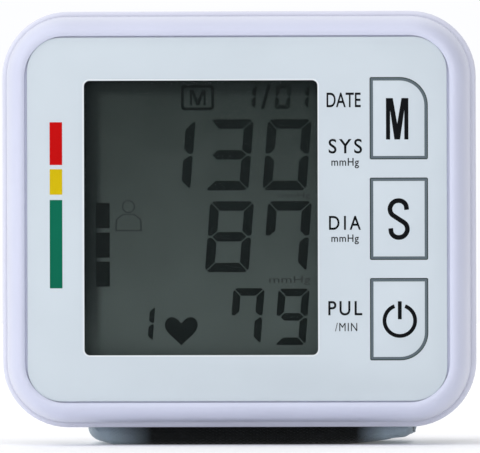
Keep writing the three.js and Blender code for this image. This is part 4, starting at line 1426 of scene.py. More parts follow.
@dataclass
class Face:
    """The keys and everything that is printed on the film."""

    finishes: Finishes
    origin: Vector
    housing: Housing
    raised: float = 0.02
    stroke: float = 0.46
    window_border: float = 0.28
    power_place: Point = (29.06, -18.2)
    power_radius: float = 3.08
    power_stroke: float = 0.68
    power_gap: float = 1.05
    power_bar: Point = (0.25, 3.45)
    scale_sides: Point = (-33.5, -31.25)

    @property
    def ink(self) -> float:
        """Depth of the front of the print."""
        return self.housing.film_front - self.raised

    def caps(self) -> None:
        """Models the three keys with their printed outlines and signs."""
        signs = {
            "memory": lambda: Workpiece.letter_m((28.68, 17.85), (4.0, 7.4), 1.06, self.ink, self.raised),
            "set": lambda: Workpiece.letter_s((28.9, -0.06), (3.95, 7.42), 0.84, self.ink, self.raised),
            "power": self.power_sign,
        }
        for name, body in KEYS.items():
            cap = self.housing.key_plate(name, f"cap_{name}", 0, self.housing.film_front)
            cap.thicken(self.housing.film_depth).soften(0.05, 2, 50).smooth(30)
            cap.settle(self.origin, self.finishes.film, "film", body, [f"key_{name}"])
            line = self.housing.key_plate(name, f"outline_{name}", 0, self.ink).thicken(self.raised)
            inner = self.housing.key_plate(name, "inner", -self.stroke, self.ink - 1).thicken(3)
            line.combine(Cut.AWAY, inner).settle(self.origin, self.finishes.ink, "film", body)
            signs[name]().named(f"sign_{name}").settle(self.origin, self.finishes.letter, "film", body)

    def power_sign(self) -> Workpiece:
        """Models the standby sign: an open ring and a bar.

        Returns:
            The sign as one mesh.
        """
        x, z = self.power_place
        ring = Workpiece.disc("ring", self.power_radius, x, self.ink, z, 72, filled=False)
        inner = (self.power_radius - self.power_stroke) / self.power_radius
        with ring.editing("VERT") as mesh:
            for vertex in mesh.verts:
                vertex.select_set(abs(vertex.co.x - x) < self.power_gap and vertex.co.z > z)
            bpy.ops.mesh.delete(type="VERT")
            bpy.ops.mesh.select_all(action="SELECT")
            ring.push()
            ring.shape(lambda co: (x + (co.x - x) * inner, co.y, z + (co.z - z) * inner))
            bpy.ops.mesh.select_all(action="SELECT")
            ring.push(y=self.raised)
        ring.face_out()
        left, right = x - self.power_stroke / 2, x + self.power_stroke / 2
        low, high = (z + end for end in self.power_bar)
        return ring.join(Workpiece.outline("bar", [(left, high), (left, low), (right, low), (right, high)],
                                           self.ink, self.raised))

    def labels(self) -> None:
        """Models the words beside the display."""
        parts = [
            Workpiece.words("label", text, centre, size, self.ink, self.raised, spacing, weight)
            for text, centre, size, spacing, weight in (
                ("DATE", (19.12, 21.25), (6.1, 2.62), 1.0, 0.01),
                ("SYS", (19.4, 12.98), (5.98, 2.62), 1.25, 0.01),
                ("mmHg", (19.37, 9.95), (4.92, 1.85), 1.1, 0.008),
                ("DIA", (19.3, -0.71), (5.7, 2.5), 1.35, 0.01),
                ("mmHg", (19.32, -3.67), (4.9, 1.75), 1.1, 0.008),
                ("PUL", (19.32, -15.98), (6.06, 2.57), 1.25, 0.01),
                ("/MIN", (19.47, -19.33), (3.95, 1.5), 1.15, 0.0),
            )
        ]
        whole = parts[0].join(*parts[1:]).named("face_labels")
        whole.settle(self.origin, self.finishes.letter, "film")

    def window_highlight(self) -> None:
        """Models the pale line round the display window: a painted highlight of the window's lit edge."""
        corner = self.housing.window_corner
        line = self.housing.pane("window_highlight", 2 * self.window_border, corner + self.window_border, self.ink,
                                 self.raised)
        opening = self.housing.pane("opening", 0, corner, self.ink - 1, 3)
        line.combine(Cut.AWAY, opening).settle(self.origin, self.finishes.pale, "film")

    def scale(self) -> None:
        """Models the three printed bars of the colour scale."""
        left, right = self.scale_sides
        for name, low, high, finish in (
            ("scale_red", 9.75, 17.4, self.finishes.red),
            ("scale_yellow", 4.45, 9.0, self.finishes.yellow),
            ("scale_green", -12.3, 3.5, self.finishes.green),
        ):
            bar = Workpiece.plate(name, right - left, high - low, 0.08, (left + right) / 2, (low + high) / 2,
                                  self.ink)
            bar.thicken(self.raised).settle(self.origin, finish, "film")

    def build(self) -> None:
        """Models and finishes the keys and the print."""
        self.caps()
        self.labels()
        self.window_highlight()
        self.scale()


@dataclass
class Cuff:
    """The fabric cuff: its cover, lining pad, closure flap, patches, stitches and pull tab."""

    finishes: Finishes
    trim: float = 0.75
    beside: float = 0.15
    cover: float = 2.0
    curler: float = 0.9
    pad: float = 2.4
    pad_crown: float = 0.8
    pad_start: float = -8.0
    pad_inset: float = 1.7
    pad_gap: float = 0.1
    pad_soft: float = 1.1
    pad_seam: float = 0.45
    pad_pressure: float = 4.0
    pad_swell: float = 0.9
    held_seam: float = 0.9
    held_side: float = 2.4
    held_weight: float = 0.12
    swell_frames: int = 12
    flap: float = 3.4
    flap_gap: float = 0.25
    hook: float = 0.9
    pile: float = 0.8
    pile_gap: float = 0.06
    fit: float = 0.3
    corner: float = 12.0
    floor_cut: float = 0.5
    case_drop: float = 0.9
    edge_rise: float = 2.0
    left_lift: float = 0.717
    right_lift: float = 0.228
    toe_radius: float = 1.3
    under_z: float = 13.0
    under_y: float = 11.85
    tuck_in: float = 1.3
    tuck_reach: float = 9.0
    stub_degrees: float = 62.0
    hook_degrees: float = 60.0
    fold_low: float = 28.0
    fold_high: float = 42.0
    thickest: float = 3.0
    tip_shares: tuple[float, ...] = (0.42, 0.2, 0.06)
    edge_share: float = 0.48
    back_steps: int = 40
    columns: int = 44
    narrow: float = 5.0
    narrow_columns: int = 10
    binding_half: float = 0.62
    binding_inset: float = 2.5
    seam_inset: float = 3.2
    seam_width: float = 0.55
    seam_depth: float = 0.2
    stitch_sink: float = 0.12
    stitch_pitch: float = 2.6
    stitch_size: tuple[float, float, float] = (0.42, 1.7, 0.34)
    stitch_low: float = 2.6
    tape: float = 0.4
    tape_half: float = 4.2
    tape_seam: float = 1.3
    tape_margin: float = 2.0
    tab_fold: float = 0.8
    tab_gap: float = 0.1
    tab_round: float = 0.18
    tab_seams: Point = (0.9, 2.3)
    soft_edge: float = 60.0

    def __post_init__(self) -> None:
        """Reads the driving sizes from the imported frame."""
        low, high = measured("cuff_cover")
        flap_low, flap_high = measured("closure_flap")
        self.middle = (low.x + high.x) / 2 - self.beside
        self.half = (high.x - low.x) / 2 - self.trim
        self.toe = low.y
        self.radius = (flap_high.z + self.floor_cut) / 2
        self.centre_z = self.radius - self.floor_cut
        self.centre_y = flap_high.y - self.radius
        self.flap_end = flap_low.y
        self.case_back = measured("rear_cover")[1].y
        self.front = self.case_back + self.fit
        self.pile_radius = self.radius - self.flap - self.fit - self.hook - self.fit
        self.stub_radius = self.pile_radius - self.pile - self.fit
        self.stub_top = self.centre_z + self.stub_radius
        self.case_low = measured("front_cover")[0].z - self.case_drop

    def arc(self, y: float, z: float, radius: float, start: float, end: float, steps: int) -> list[Vector]:
        """Gives points on an arc seen from the side.

        Args:
            y: Its centre along Y.
            z: Its centre along Z.
            radius: Its radius.
            start: First angle in degrees, from the back upwards.
            end: Last angle in degrees.
            steps: Number of steps.

        Returns:
            The points, with X at zero.
        """
        points = []
        for step in range(steps + 1):
            angle = math.radians(start + (end - start) * step / steps)
            points.append(Vector((0, y + radius * math.cos(angle), z + radius * math.sin(angle))))
        return points

    def curve(self, knots: list[Vector], steps: int) -> list[Vector]:
        """Draws a smooth curve through knots and steps along it evenly.

        Args:
            knots: The points that it passes through.
            steps: Number of even steps.

        Returns:
            The points along the curve.
        """
        dense = through(knots, 24)
        lengths = [0.0]
        for a, b in zip(dense, dense[1:]):
            lengths.append(lengths[-1] + (b - a).length)
        points, index = [], 0
        for step in range(steps + 1):
            wanted = lengths[-1] * step / steps
            while index < len(dense) - 2 and lengths[index + 1] < wanted:
                index += 1
            share = (wanted - lengths[index]) / max(lengths[index + 1] - lengths[index], NEAR)
            points.append(dense[index].lerp(dense[index + 1], min(max(share, 0), 1)))
        return points

    def fixed_run(self, inset: float, start: float, toe: bool = False) -> list[Vector]:
        """Gives the path from the back, under the case, up behind it and over its own end.

        Args:
            inset: How far it lies inside the outside of the loop.
            start: Angle at the back where it starts, in degrees.
            toe: Whether it swells forward under the case.

        Returns:
            The path.
        """
        corner_y, low_z = self.front + self.corner, self.corner - self.floor_cut
        back = self.arc(self.centre_y, self.centre_z, self.radius - inset, start, -90, self.back_steps)
        if toe:
            low = self.curve(self.toe_knots(back[-1]), 40)
        else:
            flat = self.curve([back[-1], Vector((0, corner_y, inset - self.floor_cut))], 12)
            low = flat[:-1] + self.arc(corner_y, low_z, self.corner - inset, -90, -180, 28)
        top = self.arc(corner_y, self.stub_top - self.corner, self.corner - inset, 180, 90, 18)
        rise = self.curve([low[-1], top[0]], 16)
        stub = self.arc(self.centre_y, self.centre_z, self.stub_radius - inset, 90, self.stub_degrees, 12)
        bridge = self.curve([top[-1], stub[0]], 10)
        return back + low[1:] + rise[1:] + top[1:] + bridge[1:] + stub[1:]

    def toe_knots(self, start: Vector) -> list[Vector]:
        """Gives the knots of the toe: along the floor, round the front and back along the case's rounding.

        Args:
            start: Where the round back of the loop meets the floor.

        Returns:
            The knots.
        """
        nose = self.toe + self.toe_radius
        floor = [Vector((0, (start.y + nose) / 2, -self.floor_cut)), Vector((0, nose + 1.2, -self.floor_cut)),
                 Vector((0, nose - 0.55, 0.15)), Vector((0, self.toe, self.toe_radius))]
        y, z = self.case_back - self.under_y, self.case_low + self.under_z
        under = [Vector((0, y + (self.under_y + self.fit) * math.sin(turn),
                         z - (self.under_z + self.fit) * math.cos(turn)))
                 for turn in map(math.radians, (24, 42, 58, 74))]
        return [start, *floor, *under, Vector((0, self.front + 1, z + self.fit))]

    def opening_run(self, inset: float, start: float) -> list[Vector]:
        """Gives the path of the flap, up the back and forward over the top.

        Args:
            inset: How far it lies inside the outside of the loop.
            start: Angle at the back where it starts, in degrees.

        Returns:
            The path.
        """
        arc = self.arc(self.centre_y, self.centre_z, self.radius - inset, start, 90, 56)
        front = self.curve([arc[-1], Vector((0, self.flap_end, self.centre_z + self.radius - inset))], 16)
        return arc + front[1:]

    def top_run(self, radius: float, front: float, end: float) -> list[Vector]:
        """Gives the path of a patch on top of the loop.

        Args:
            radius: Radius of its path.
            front: Where it starts.
            end: Angle behind the top where it ends, in degrees.

        Returns:
            The path.
        """
        arc = self.arc(self.centre_y, self.centre_z, radius, 90, end, 16)
        flat = self.curve([Vector((0, front, self.centre_z + radius)), arc[0]], 16)
        return flat[:-1] + arc

    def lift(self, x: float) -> float:
        """Gives how far the layers curl away from the outside.

        Args:
            x: Distance from the middle of the cuff.

        Returns:
            The lift in millimetres.
        """
        start = self.half * (self.left_lift if x < 0 else self.right_lift)
        past = max(0.0, (abs(x) - start) / (self.half - start))
        return self.edge_rise * past * past

    def tuck(self, x: float, base: Vector) -> float:
        """Gives how far the left end of the toe is drawn in.

        Args:
            x: Distance from the middle of the cuff.
            base: The place on the path.

        Returns:
            The move along X in millimetres.
        """
        behind = 1 - (base.y - self.toe) / self.tuck_reach
        above = 1 - (base.z - self.toe_radius) / self.tuck_reach
        share = max(0.0, min(1.0, behind)) * max(0.0, min(1.0, above))
        return self.tuck_in * share * (min(x, 0) / self.half) ** 6

    def surface(self, name: str, path: Sequence[Vector], towards: Sequence[Vector], half: float,
                shift: Callable[[float, int], float], upright: int = 0, beside: float = 0) -> Workpiece:
        """Rolls a flat grid along a path.

        Args:
            name: The piece's name.
            path: Points of the path.
            towards: Points that the shift moves towards, one for each of the path.
            half: Half width.
            shift: Gives the shift at a distance from the middle and a station.
            upright: From this station the curl goes straight up while the path is low.
            beside: How far its own middle lies from that of the cuff.

        Returns:
            The rolled sheet, with a map over its width and length.
        """
        clear_selection()
        rows = len(path) - 1
        columns = self.columns if half > self.narrow else self.narrow_columns
        bpy.ops.mesh.primitive_grid_add(x_subdivisions=columns, y_subdivisions=rows, size=1, calc_uvs=True)
        piece = Workpiece(name)
        for vertex in piece.obj.data.vertices:
            across = math.sin((vertex.co.x * 2) * QUARTER)
            row = round((vertex.co.y + 0.5) * rows)
            x = across * half
            base = path[row]
            way = towards[row] - base
            way = way.normalized() if way.length > NEAR else UP
            if upright and row >= upright and base.z < self.case_low:
                way = UP
            place = base + way * shift(x, row)
            if upright:
                x += self.tuck(x, base)
            vertex.co = (self.middle + beside + x, place.y, max(place.z, 0))
        return piece

    def layer(self, name: str, outer: Sequence[Vector], inner: Sequence[Vector], half: float,
              crown: float = 0, seam: float = 0, upright: int = 0, soft: float | None = None,
              beside: float = 0, lining_seam: float = 0) -> Workpiece:
        """Makes a closed layer between two paths.

        Args:
            name: The piece's name.
            outer: The outside path.
            inner: The inside path.
            half: Half width.
            crown: How far the inside swells in the middle.
            seam: Depth of the sewn line near each side.
            upright: From this station the curl goes straight up while the path is low.
            soft: Width of the rounding at the sides, or None for half the thickness.
            beside: How far its own middle lies from that of the cuff.
            lining_seam: Depth of the sewn line on the inside.

        Returns:
            The closed layer.
        """
        last = len(outer) - 1
        thick = [(b - a).length for a, b in zip(outer, inner)]

        def edge(x: float, row: int) -> float:
            """Gives how far both faces draw in at the sides and ends.

            Args:
                x: Distance from the middle.
                row: Station.

            Returns:
                The shift in millimetres.
            """
            room = min(thick[row], self.thickest)
            width = room / 2 if soft is None else soft
            past = max(0.0, (abs(x) - (half - width)) / width)
            side = room / 2 * (1 - math.sqrt(max(0.0, 1 - past * past)))
            end = min(row, last - row)
            tip = room * self.tip_shares[end] if end < len(self.tip_shares) else 0.0
            return min(max(side, tip), room * self.edge_share)

        def sewn(x: float, depth: float) -> float:
            """Gives how deep the sewn line draws a face in."""
            away = (abs(x) - (half - self.seam_inset)) / self.seam_width
            return depth * math.exp(-away * away)

        front = self.surface(name, outer, inner, half,
                             lambda x, row: self.lift(beside + x) + edge(x, row) + sewn(x, seam), upright,
                             beside)
        back = self.surface("inside", inner, outer, half,
                            lambda x, row: edge(x, row) - self.lift(beside + x) + sewn(x, lining_seam)
                            - crown * (1 - (x / half) ** 2), 0, beside)
        front.join(back)
        with front.editing("EDGE") as mesh:
            for rim in mesh.edges:
                rim.select_set(rim.is_boundary)
            bpy.ops.mesh.bridge_edge_loops()
            bpy.ops.mesh.select_all(action="SELECT")
            bpy.ops.mesh.normals_make_consistent(inside=False)
        return front

    def row_place(self, outer: Sequence[Vector], inner: Sequence[Vector], x: float, row: int,
                  shift: float) -> Stitch:
        """Finds a place on a rolled layer.

        Args:
            outer: Its outside path.
            inner: Its inside path.
            x: Distance from the middle.
            row: Station.
            shift: Extra shift from the outside.

        Returns:
            The place, the direction along the path and the direction out of the layer.
        """
        base = outer[row]
        way = (inner[row] - base).normalized()
        along = (outer[min(row + 1, len(outer) - 1)] - outer[max(row - 1, 0)]).normalized()
        place = base + way * (self.lift(x) + shift)
        return Vector((self.middle + x, place.y, max(place.z, 0.05))), along, -way

    def side_seams(self, outer: Sequence[Vector], inner: Sequence[Vector],
                   skip: Callable[[Vector], bool]) -> list[Stitch]:
        """Finds the places of the stitches near both sides of a layer.

        Args:
            outer: The layer's outside path.
            inner: Its inside path.
            skip: Says where no stitch shows.

        Returns:
            The place and the directions of each stitch.
        """
        places = []
        for x in (self.seam_inset - self.half, self.half - self.seam_inset):
            travelled = 0.0
            for row in range(2, len(outer) - 2):
                travelled += (outer[row] - outer[row - 1]).length
                if travelled >= self.stitch_pitch:
                    travelled = 0.0
                    stitch = self.row_place(outer, inner, x, row, self.seam_depth - self.stitch_sink)
                    if not skip(stitch[0]):
                        places.append(stitch)
        return places

    def sew(self, name: str, places: Sequence[Stitch], body: Body | None = Body.ROOT) -> bpy.types.Object:
        """Models one stitch and copies it along a seam.

        Args:
            name: The seam's name.
            places: The middle of each stitch, the direction of its length and the direction out of the cloth.
            body: The body it rides on, or None to leave it unattached.

        Returns:
            All stitches as one finished object.
        """
        clear_selection()
        bpy.ops.mesh.primitive_uv_sphere_add(segments=6, ring_count=4, radius=0.5)
        model, copies = Workpiece("stitch"), []
        for place, along, out in places:
            made = model.copy("stitch")
            turn = Matrix((along.cross(out), along, out)).transposed().to_4x4()
            scale = Matrix.Diagonal((*self.stitch_size, 1))
            made.obj.data.transform(Matrix.Translation(place) @ turn @ scale)
            copies.append(made)
        bpy.data.objects.remove(model.obj)
        whole = copies[0].join(*copies[1:]).named(name).face_out().smooth(self.soft_edge)
        return whole.settle(ZERO, self.finishes.thread, "cuff_fabric", body)

    def cross_seam(self, fold: float) -> None:
        """Models the tape that is sewn over the joint of the cover and the flap.

        Args:
            fold: Angle of the joint, in degrees.
        """
        low, high = fold - self.tape_half, fold + self.tape_half
        outer, inner = (self.arc(self.centre_y, self.centre_z, self.radius + rise, low, high, 14)
                        for rise in (self.tape, 0.02))
        tape = self.layer("joint_tape", outer, inner, self.half - 0.2).smooth(self.soft_edge)
        tape.settle(ZERO, self.finishes.tape, "cuff_fabric")
        places, half = [], self.half - self.tape_margin
        steps = int(2 * half / self.stitch_pitch)
        for angle in (math.radians(low + self.tape_seam), math.radians(high - self.tape_seam)):
            out = Vector((0, math.cos(angle), math.sin(angle)))
            for step in range(steps + 1):
                x = half * (2 * step / steps - 1)
                reach = self.radius + self.tape - self.lift(x)
                place = Vector((self.middle + x, self.centre_y + reach * out.y,
                                self.centre_z + reach * out.z))
                places.append((place, RIGHT, out))
        self.sew("joint_stitches", places)

    def side_bindings(self) -> None:
        """Models the bindings that close both sides between the cover and the lining."""
        outer, inner = (self.fixed_run(inset, self.pad_start) for inset in (
            self.cover + self.pile_gap, self.cover + self.fit + self.curler + self.fit - self.pile_gap))
        for name, side in (("side_binding_left", -1), ("side_binding_right", 1)):
            strip = self.layer(name, outer, inner, self.binding_half,
                               beside=side * (self.half - self.binding_inset))
            strip.smooth(self.soft_edge).settle(ZERO, self.finishes.binding, "cuff_fabric")

    def swell(self, pad: bpy.types.Object) -> None:
        """Blows the pad up gently as cloth and keeps the result.

        Args:
            pad: The settled pad, in metres.
        """
        start = [vertex.co.copy() for vertex in pad.data.vertices]
        held = pad.vertex_groups.new(name="held")
        for vertex in pad.data.vertices:
            x = abs(vertex.co.x / MM - self.middle)
            seam = self.half - self.seam_inset - self.pad_inset
            sewn = abs(x - seam) < self.held_seam or x > self.half - self.held_side
            held.add([vertex.index], 1.0 if sewn else self.held_weight, "REPLACE")
        cloth = pad.modifiers.new("cloth", "CLOTH")
        cloth.settings.use_pressure = True
        cloth.settings.uniform_pressure_force = self.pad_pressure
        cloth.settings.quality = 4
        cloth.settings.mass = 0.2
        cloth.settings.tension_stiffness = 30
        cloth.settings.compression_stiffness = 20
        cloth.settings.vertex_group_mass = "held"
        cloth.settings.effector_weights.gravity = 0
        cloth.point_cache.frame_start, cloth.point_cache.frame_end = 1, self.swell_frames
        for number in range(1, self.swell_frames + 1):
            bpy.context.scene.frame_set(number)
        shaped = pad.evaluated_get(bpy.context.evaluated_depsgraph_get())
        moved = [vertex.co.copy() for vertex in shaped.data.vertices]
        pad.modifiers.remove(cloth)
        bpy.context.scene.frame_set(1)
        for vertex, before, after in zip(pad.data.vertices, start, moved):
            step = after - before
            if step.length > self.pad_swell * MM:
                step = step.normalized() * self.pad_swell * MM
            vertex.co = before + step
            vertex.co.z = max(vertex.co.z, 0.002)

    def cover_and_lining(self, fold: float) -> None:
        """Models the outer cover with its seams and the padded lining inside it.

        Args:
            fold: Angle of the joint with the flap, in degrees.
        """
        outer, inner = self.fixed_run(0, fold, toe=True), self.fixed_run(self.cover, fold)
        cover = self.layer("cuff_shell", outer, inner, self.half, seam=self.seam_depth,
                           upright=self.back_steps)
        cover.smooth(self.soft_edge)
        cover.settle(ZERO, self.finishes.cuff, "cuff_fabric", stands_for=["cuff_cover"])
        self.sew("cuff_stitches", self.side_seams(
            outer, inner, lambda place: place.z < self.stitch_low or place.y < self.front + 1))
        self.cross_seam(fold)
        self.side_bindings()
        inset = self.cover + self.fit + self.curler + self.fit
        pad = self.layer("lining_pad", self.fixed_run(inset, self.pad_start),
                         self.fixed_run(inset + self.pad - self.pad_gap, self.pad_start),
                         self.half - self.pad_inset, crown=self.pad_crown, soft=self.pad_soft,
                         lining_seam=self.pad_seam)
        settled = pad.settle(ZERO, self.finishes.lining, "cuff_lining", None, ["air_bladder"])
        self.swell(settled)
        pad.smooth(70)
        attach(settled, Body.ROOT.value)

    def closure(self, fold: float) -> None:
        """Models the closure flap and its seams, from the joint up the back and over the top.

        Args:
            fold: Angle of the joint with the cover, in degrees.
        """
        outer, inner = (self.opening_run(inset, fold + self.flap_gap) for inset in (0, self.flap))
        flap = self.layer("cuff_flap", outer, inner, self.half, seam=self.seam_depth)
        flap.smooth(self.soft_edge)
        made = flap.settle(ZERO, self.finishes.cuff, "cuff_fabric", None, ["closure_flap"])
        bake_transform(made)
        made = self.sew("flap_stitches", self.side_seams(outer, inner, lambda place: False), None)
        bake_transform(made)

    def patches(self) -> None:
        """Models the hook patch under the flap and the loop patch on the fixed end."""
        low, high = measured("hook_patch")
        for name, radius, depth, front, end, finish, body, node in (
            ("hook_strip", self.radius - self.flap - self.fit, self.hook, self.flap_end, self.hook_degrees,
             self.finishes.hook, Body.FLAP, "hook_patch"),
            ("loop_strip", self.pile_radius, self.pile, self.front + self.corner, self.stub_degrees,
             self.finishes.loop, Body.ROOT, "loop_patch"),
        ):
            outer, inner = (self.top_run(radius - inset, front, end) for inset in (0, depth))
            strip = self.layer(name, outer, inner, (high.x - low.x) / 2)
            strip.smooth(self.soft_edge).settle(ZERO, finish, "hook_and_loop", body, [node])

    def tab(self) -> None:
        """Models the pull tab: a folded loop of webbing sewn into the flap's end."""
        low, high = measured("pull_tab")
        middle, fold = (low.z + high.z) / 2, low.y + self.tab_fold
        web = Workpiece.block("pull_loop", (low.x, fold, middle + self.tab_gap), high)
        under = Workpiece.block("under", (low.x, fold, low.z), (high.x, high.y, middle - self.tab_gap))
        nose = Workpiece.rod("nose", (high.z - low.z) / 2, high.x - low.x,
                             ((low.x + high.x) / 2, fold, middle), (0, QUARTER, 0), 24)
        web.combine(Cut.TOGETHER, nose, under).soften(self.tab_round).face_out()
        with web.editing("FACE"):
            bpy.ops.mesh.select_all(action="SELECT")
            bpy.ops.uv.cube_project(cube_size=1, correct_aspect=False)
        web.smooth(50).settle(ZERO, self.finishes.webbing, "cuff_fabric", Body.FLAP, ["pull_tab"])
        steps = int((high.x - low.x - self.stitch_pitch) / self.stitch_pitch)
        places = [(Vector((low.x + self.stitch_pitch * (step + 1), high.y - seam, high.z)), RIGHT, UP)
                  for seam in self.tab_seams for step in range(steps)]
        self.sew("pull_stitches", places, Body.FLAP)

    def build(self) -> None:
        """Models and finishes every piece of the cuff."""
        fold = math.degrees(math.asin((self.fold_low - self.centre_z) / self.radius))
        self.cover_and_lining(fold)
        self.closure(fold)
        self.patches()
        self.tab()


def widened(place: Vector, grow: float) -> tuple[float, float, float]:
    """Moves a point away from the Z axis by a growth of its radius."""
    reach = math.hypot(place.x, place.y)
    return place.x * (reach + grow) / reach, place.y * (reach + grow) / reach, place.z


@dataclass
class Inside:
    """The cells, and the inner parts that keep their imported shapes."""

    finishes: Finishes
    cap_inset: float = 0.7
    sleeve_round: float = 0.25
    can_inset: float = 0.75
    can_start: float = 0.02
    can_short: float = 0.2
    can_shoulder: Point = (0.12, 0.5)
    nub_radius: float = 1.9
    nub_height: float = 0.8
    nub_foot: float = 0.2
    nub_round: Point = (0.15, 0.3)

    def dress(self) -> None:
        """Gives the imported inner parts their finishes."""
        finishes, keys = self.finishes, tuple(KEYS)
        looks = (
            (finishes.inside, ("lcd_holder", "pump_head", "air_manifold", "air_nipple",
                               *(f"plunger_{key}" for key in keys))),
            (finishes.rubber, ("contact_strip", "buzzer")),
            (finishes.board, ("main_board",)),
            (finishes.dark, ("controller_chip", "pressure_sensor", "cuff_clamp",
                             *(f"switch_button_{key}" for key in keys))),
            (finishes.can, ("pump_motor", "exhaust_valve", *(f"switch_body_{key}" for key in keys))),
            (finishes.steel, ("pump_crank", "valve_plunger", "clamp_screw_1", "clamp_screw_2",
                              "contact_spring_1", "contact_spring_2")),
            (finishes.contact, ("contact_bridge", "contact_minus", "contact_plus")),
            (finishes.hose, ("pump_hose", "valve_hose", "sensor_hose")),
            (finishes.curler, ("cuff_curler",)),
        )
        for finish, names in looks:
            for name in names:
                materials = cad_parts[name].data.materials
                materials.clear()
                materials.append(finish)
                log.info("%s: %s", name, finish.name)

    def turned(self, name: str, radius: float, start: float, steps: Sequence[Point],
               place: Matrix) -> Workpiece:
        """Draws a round shape out step by step along its axis.

        Args:
            name: The piece's name.
            radius: Radius of its first end.
            start: Height of its first end.
            steps: How far each step rises and how much its radius grows.
            place: Where it is put, and which way up.

        Returns:
            The closed shape.
        """
        piece = Workpiece.disc(name, radius, 0, 0, start, 48, "Z")
        with piece.editing("FACE"):
            bpy.ops.mesh.select_all(action="SELECT")
            for rise, grow in steps:
                piece.push(z=rise)
                piece.shape(lambda co, grow=grow: widened(co, grow))
        piece.face_out()
        piece.obj.data.transform(place)
        return piece.face_out().smooth(40)

    def cell(self, number: int, way: int) -> None:
        """Models one dry cell: a shrunk sleeve and the metal ends.

        Args:
            number: Its number in the bay.
            way: 1 where its button points up, or -1.
        """
        low, high = measured(f"battery_cell_{number}")
        place = Matrix.Translation((low + high) / 2) @ Matrix.Diagonal((1, 1, way, 1))
        radius, length, edge = (high.x - low.x) / 2, high.z - low.z, self.sleeve_round
        tall = length - self.nub_height
        sleeve = self.turned(f"cell_sleeve_{number}", radius - edge, -length / 2,
                             ((edge, edge), (tall - 2 * edge, 0), (edge, -edge), (0, -self.cap_inset)), place)
        sleeve.settle(ZERO, self.finishes.sleeve, "cell", stands_for=[f"battery_cell_{number}"])
        inner = radius - self.can_inset
        foot = self.nub_radius + self.nub_foot - (inner - self.can_shoulder[1])
        can = self.turned(f"cell_can_{number}", inner, self.can_start - length / 2,
                          ((tall - self.can_short, 0), (self.can_shoulder[0], -self.can_shoulder[1]),
                           (0, foot), (self.nub_height - self.nub_round[0], 0),
                           (self.nub_round[0], -self.nub_round[1])), place)
        can.settle(ZERO, self.finishes.steel, "steel")

    def build(self) -> None:
        """Models the cells and dresses the rest."""
        self.dress()
        self.cell(1, 1)
        self.cell(2, -1)


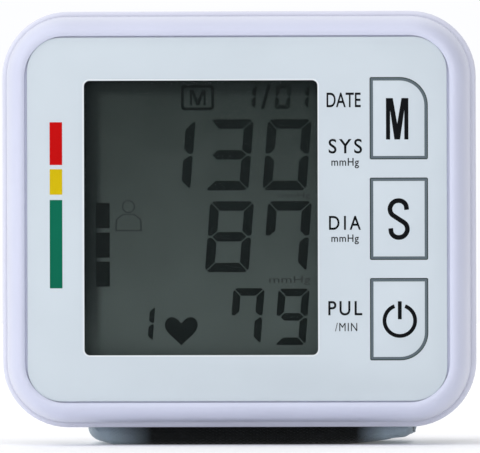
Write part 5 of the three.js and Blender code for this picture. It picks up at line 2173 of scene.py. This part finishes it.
@dataclass
class Studio:
    """The floor, the lights and the camera."""

    origin: Vector
    azimuth: float = 2.12
    elevation: float = 0.0
    roll: float = -0.147
    distance: float = 2425.4
    aim: Point = (0.554, -1.32)
    focal: float = 1018.2
    walls: float = 1.02
    ceiling: float = 1.06
    right_share: float = 0.38
    ceiling_span: Point = (0.1, 0.75)
    right_span: Point = (0.1, 0.8)
    air: tuple[float, float, float, float] = (0.965, 0.97, 1.0, 1)
    sensor: float = 36.0
    clip: Point = (0.05, 20.0)
    floor_size: float = 6.0
    floor_glow: float = 0.09

    def floor(self) -> None:
        """Lays a plain pale floor."""
        bpy.ops.object.select_all(action="DESELECT")
        bpy.ops.mesh.primitive_plane_add(size=self.floor_size)
        floor = bpy.context.active_object
        floor.name = floor.data.name = "floor"
        recipe = Recipe("floor_pale")
        drift = recipe.span(recipe.cloud(160, 2), 0, 1)
        recipe.set(Base_Color=recipe.between(drift, linear((252, 252, 252)), linear((249, 249, 250))),
                   Roughness=0.6, Emission_Color=(1, 1, 1, 1), Emission_Strength=self.floor_glow)
        floor.data.materials.append(recipe.material)

    def lamp(self, name: str, way: Sequence[float], spread: float, power: float,
             tint: tuple[float, float, float] = (1, 1, 1)) -> None:
        """Adds one soft light that shines evenly from one side.

        Args:
            name: The light's name.
            way: Direction that it comes from.
            spread: Width of the source in degrees.
            power: Its strength on a surface that faces it.
            tint: Its colour.
        """
        data = bpy.data.lights.new(name, "SUN")
        data.angle, data.energy, data.color = math.radians(spread), power, tint
        lamp = bpy.data.objects.new(name, data)
        bpy.context.scene.collection.objects.link(lamp)
        lamp.rotation_euler = Vector(way).to_track_quat("Z", "Y").to_euler()

    def room(self) -> None:
        """Lights the room, with bright walls, a softer ceiling and a dimmer right side."""
        world = bpy.data.worlds.new("room")
        world.use_nodes = True
        nodes, links = world.node_tree.nodes, world.node_tree.links
        place = nodes.new("ShaderNodeTexCoord")
        parts = nodes.new("ShaderNodeSeparateXYZ")
        links.new(place.outputs["Generated"], parts.inputs[0])
        whole = nodes.new("ShaderNodeMath")
        whole.operation = "MULTIPLY"
        for number, (way, span, shares) in enumerate((
            ("Z", self.ceiling_span, (self.walls, self.ceiling)),
            ("X", self.right_span, (1.0, self.right_share)),
        )):
            change = nodes.new("ShaderNodeMapRange")
            for key, value in zip(("From Min", "From Max", "To Min", "To Max"), (*span, *shares)):
                change.inputs[key].default_value = value
            links.new(parts.outputs[way], change.inputs["Value"])
            links.new(change.outputs[0], whole.inputs[number])
        links.new(whole.outputs[0], nodes["Background"].inputs["Strength"])
        nodes["Background"].inputs["Color"].default_value = self.air
        bpy.context.scene.world = world
        bpy.context.scene.view_settings.view_transform = "Standard"

    def lights(self) -> None:
        """Adds the lights and lights the room."""
        self.lamp("key_light", (-0.5, -0.45, 0.8), 100, 0.57, (1.0, 0.99, 0.96))
        self.lamp("front_light", (-0.1, -1.0, 0.2), 60, 0.17)
        self.room()

    def camera(self) -> None:
        """Sets the camera as it stood for the photograph."""
        azimuth, elevation = math.radians(self.azimuth), math.radians(self.elevation)
        back = Vector((math.sin(azimuth) * math.cos(elevation), -math.cos(azimuth) * math.cos(elevation),
                       math.sin(elevation)))
        data = bpy.data.cameras.new("camera")
        data.lens, data.sensor_width = self.focal, self.sensor
        data.clip_start, data.clip_end = self.clip
        camera = bpy.data.objects.new("camera", data)
        bpy.context.scene.collection.objects.link(camera)
        aim = self.origin + Vector((self.aim[0], 0, self.aim[1])) * MM
        camera.location = aim + back * self.distance * MM
        turn = back.to_track_quat("Z", "Y").to_matrix().to_4x4()
        camera.matrix_world = (Matrix.Translation(camera.location) @ turn
                               @ Matrix.Rotation(math.radians(self.roll), 4, "Z"))
        bpy.context.scene.camera = camera

    def build(self) -> None:
        """Sets up the studio."""
        self.floor()
        self.lights()
        self.camera()


def case_origin() -> Vector:
    """Finds the middle of the case's front in the frame, in metres."""
    low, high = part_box("front_cover")
    return Vector(((low.x + high.x) / 2, low.y, (low.z + high.z) / 2))


def main() -> None:
    """Builds the sub-assemblies in order."""
    logging.basicConfig(level=logging.INFO, format="%(name)s %(message)s")
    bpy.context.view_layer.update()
    origin = case_origin()
    finishes = Finishes()
    housing = Housing(finishes, origin)
    housing.build()
    Display(finishes, origin, housing).build()
    Face(finishes, origin, housing).build()
    Cuff(finishes).build()
    Inside(finishes).build()
    Studio(origin).build()


if __name__ == "__main__":
    main()
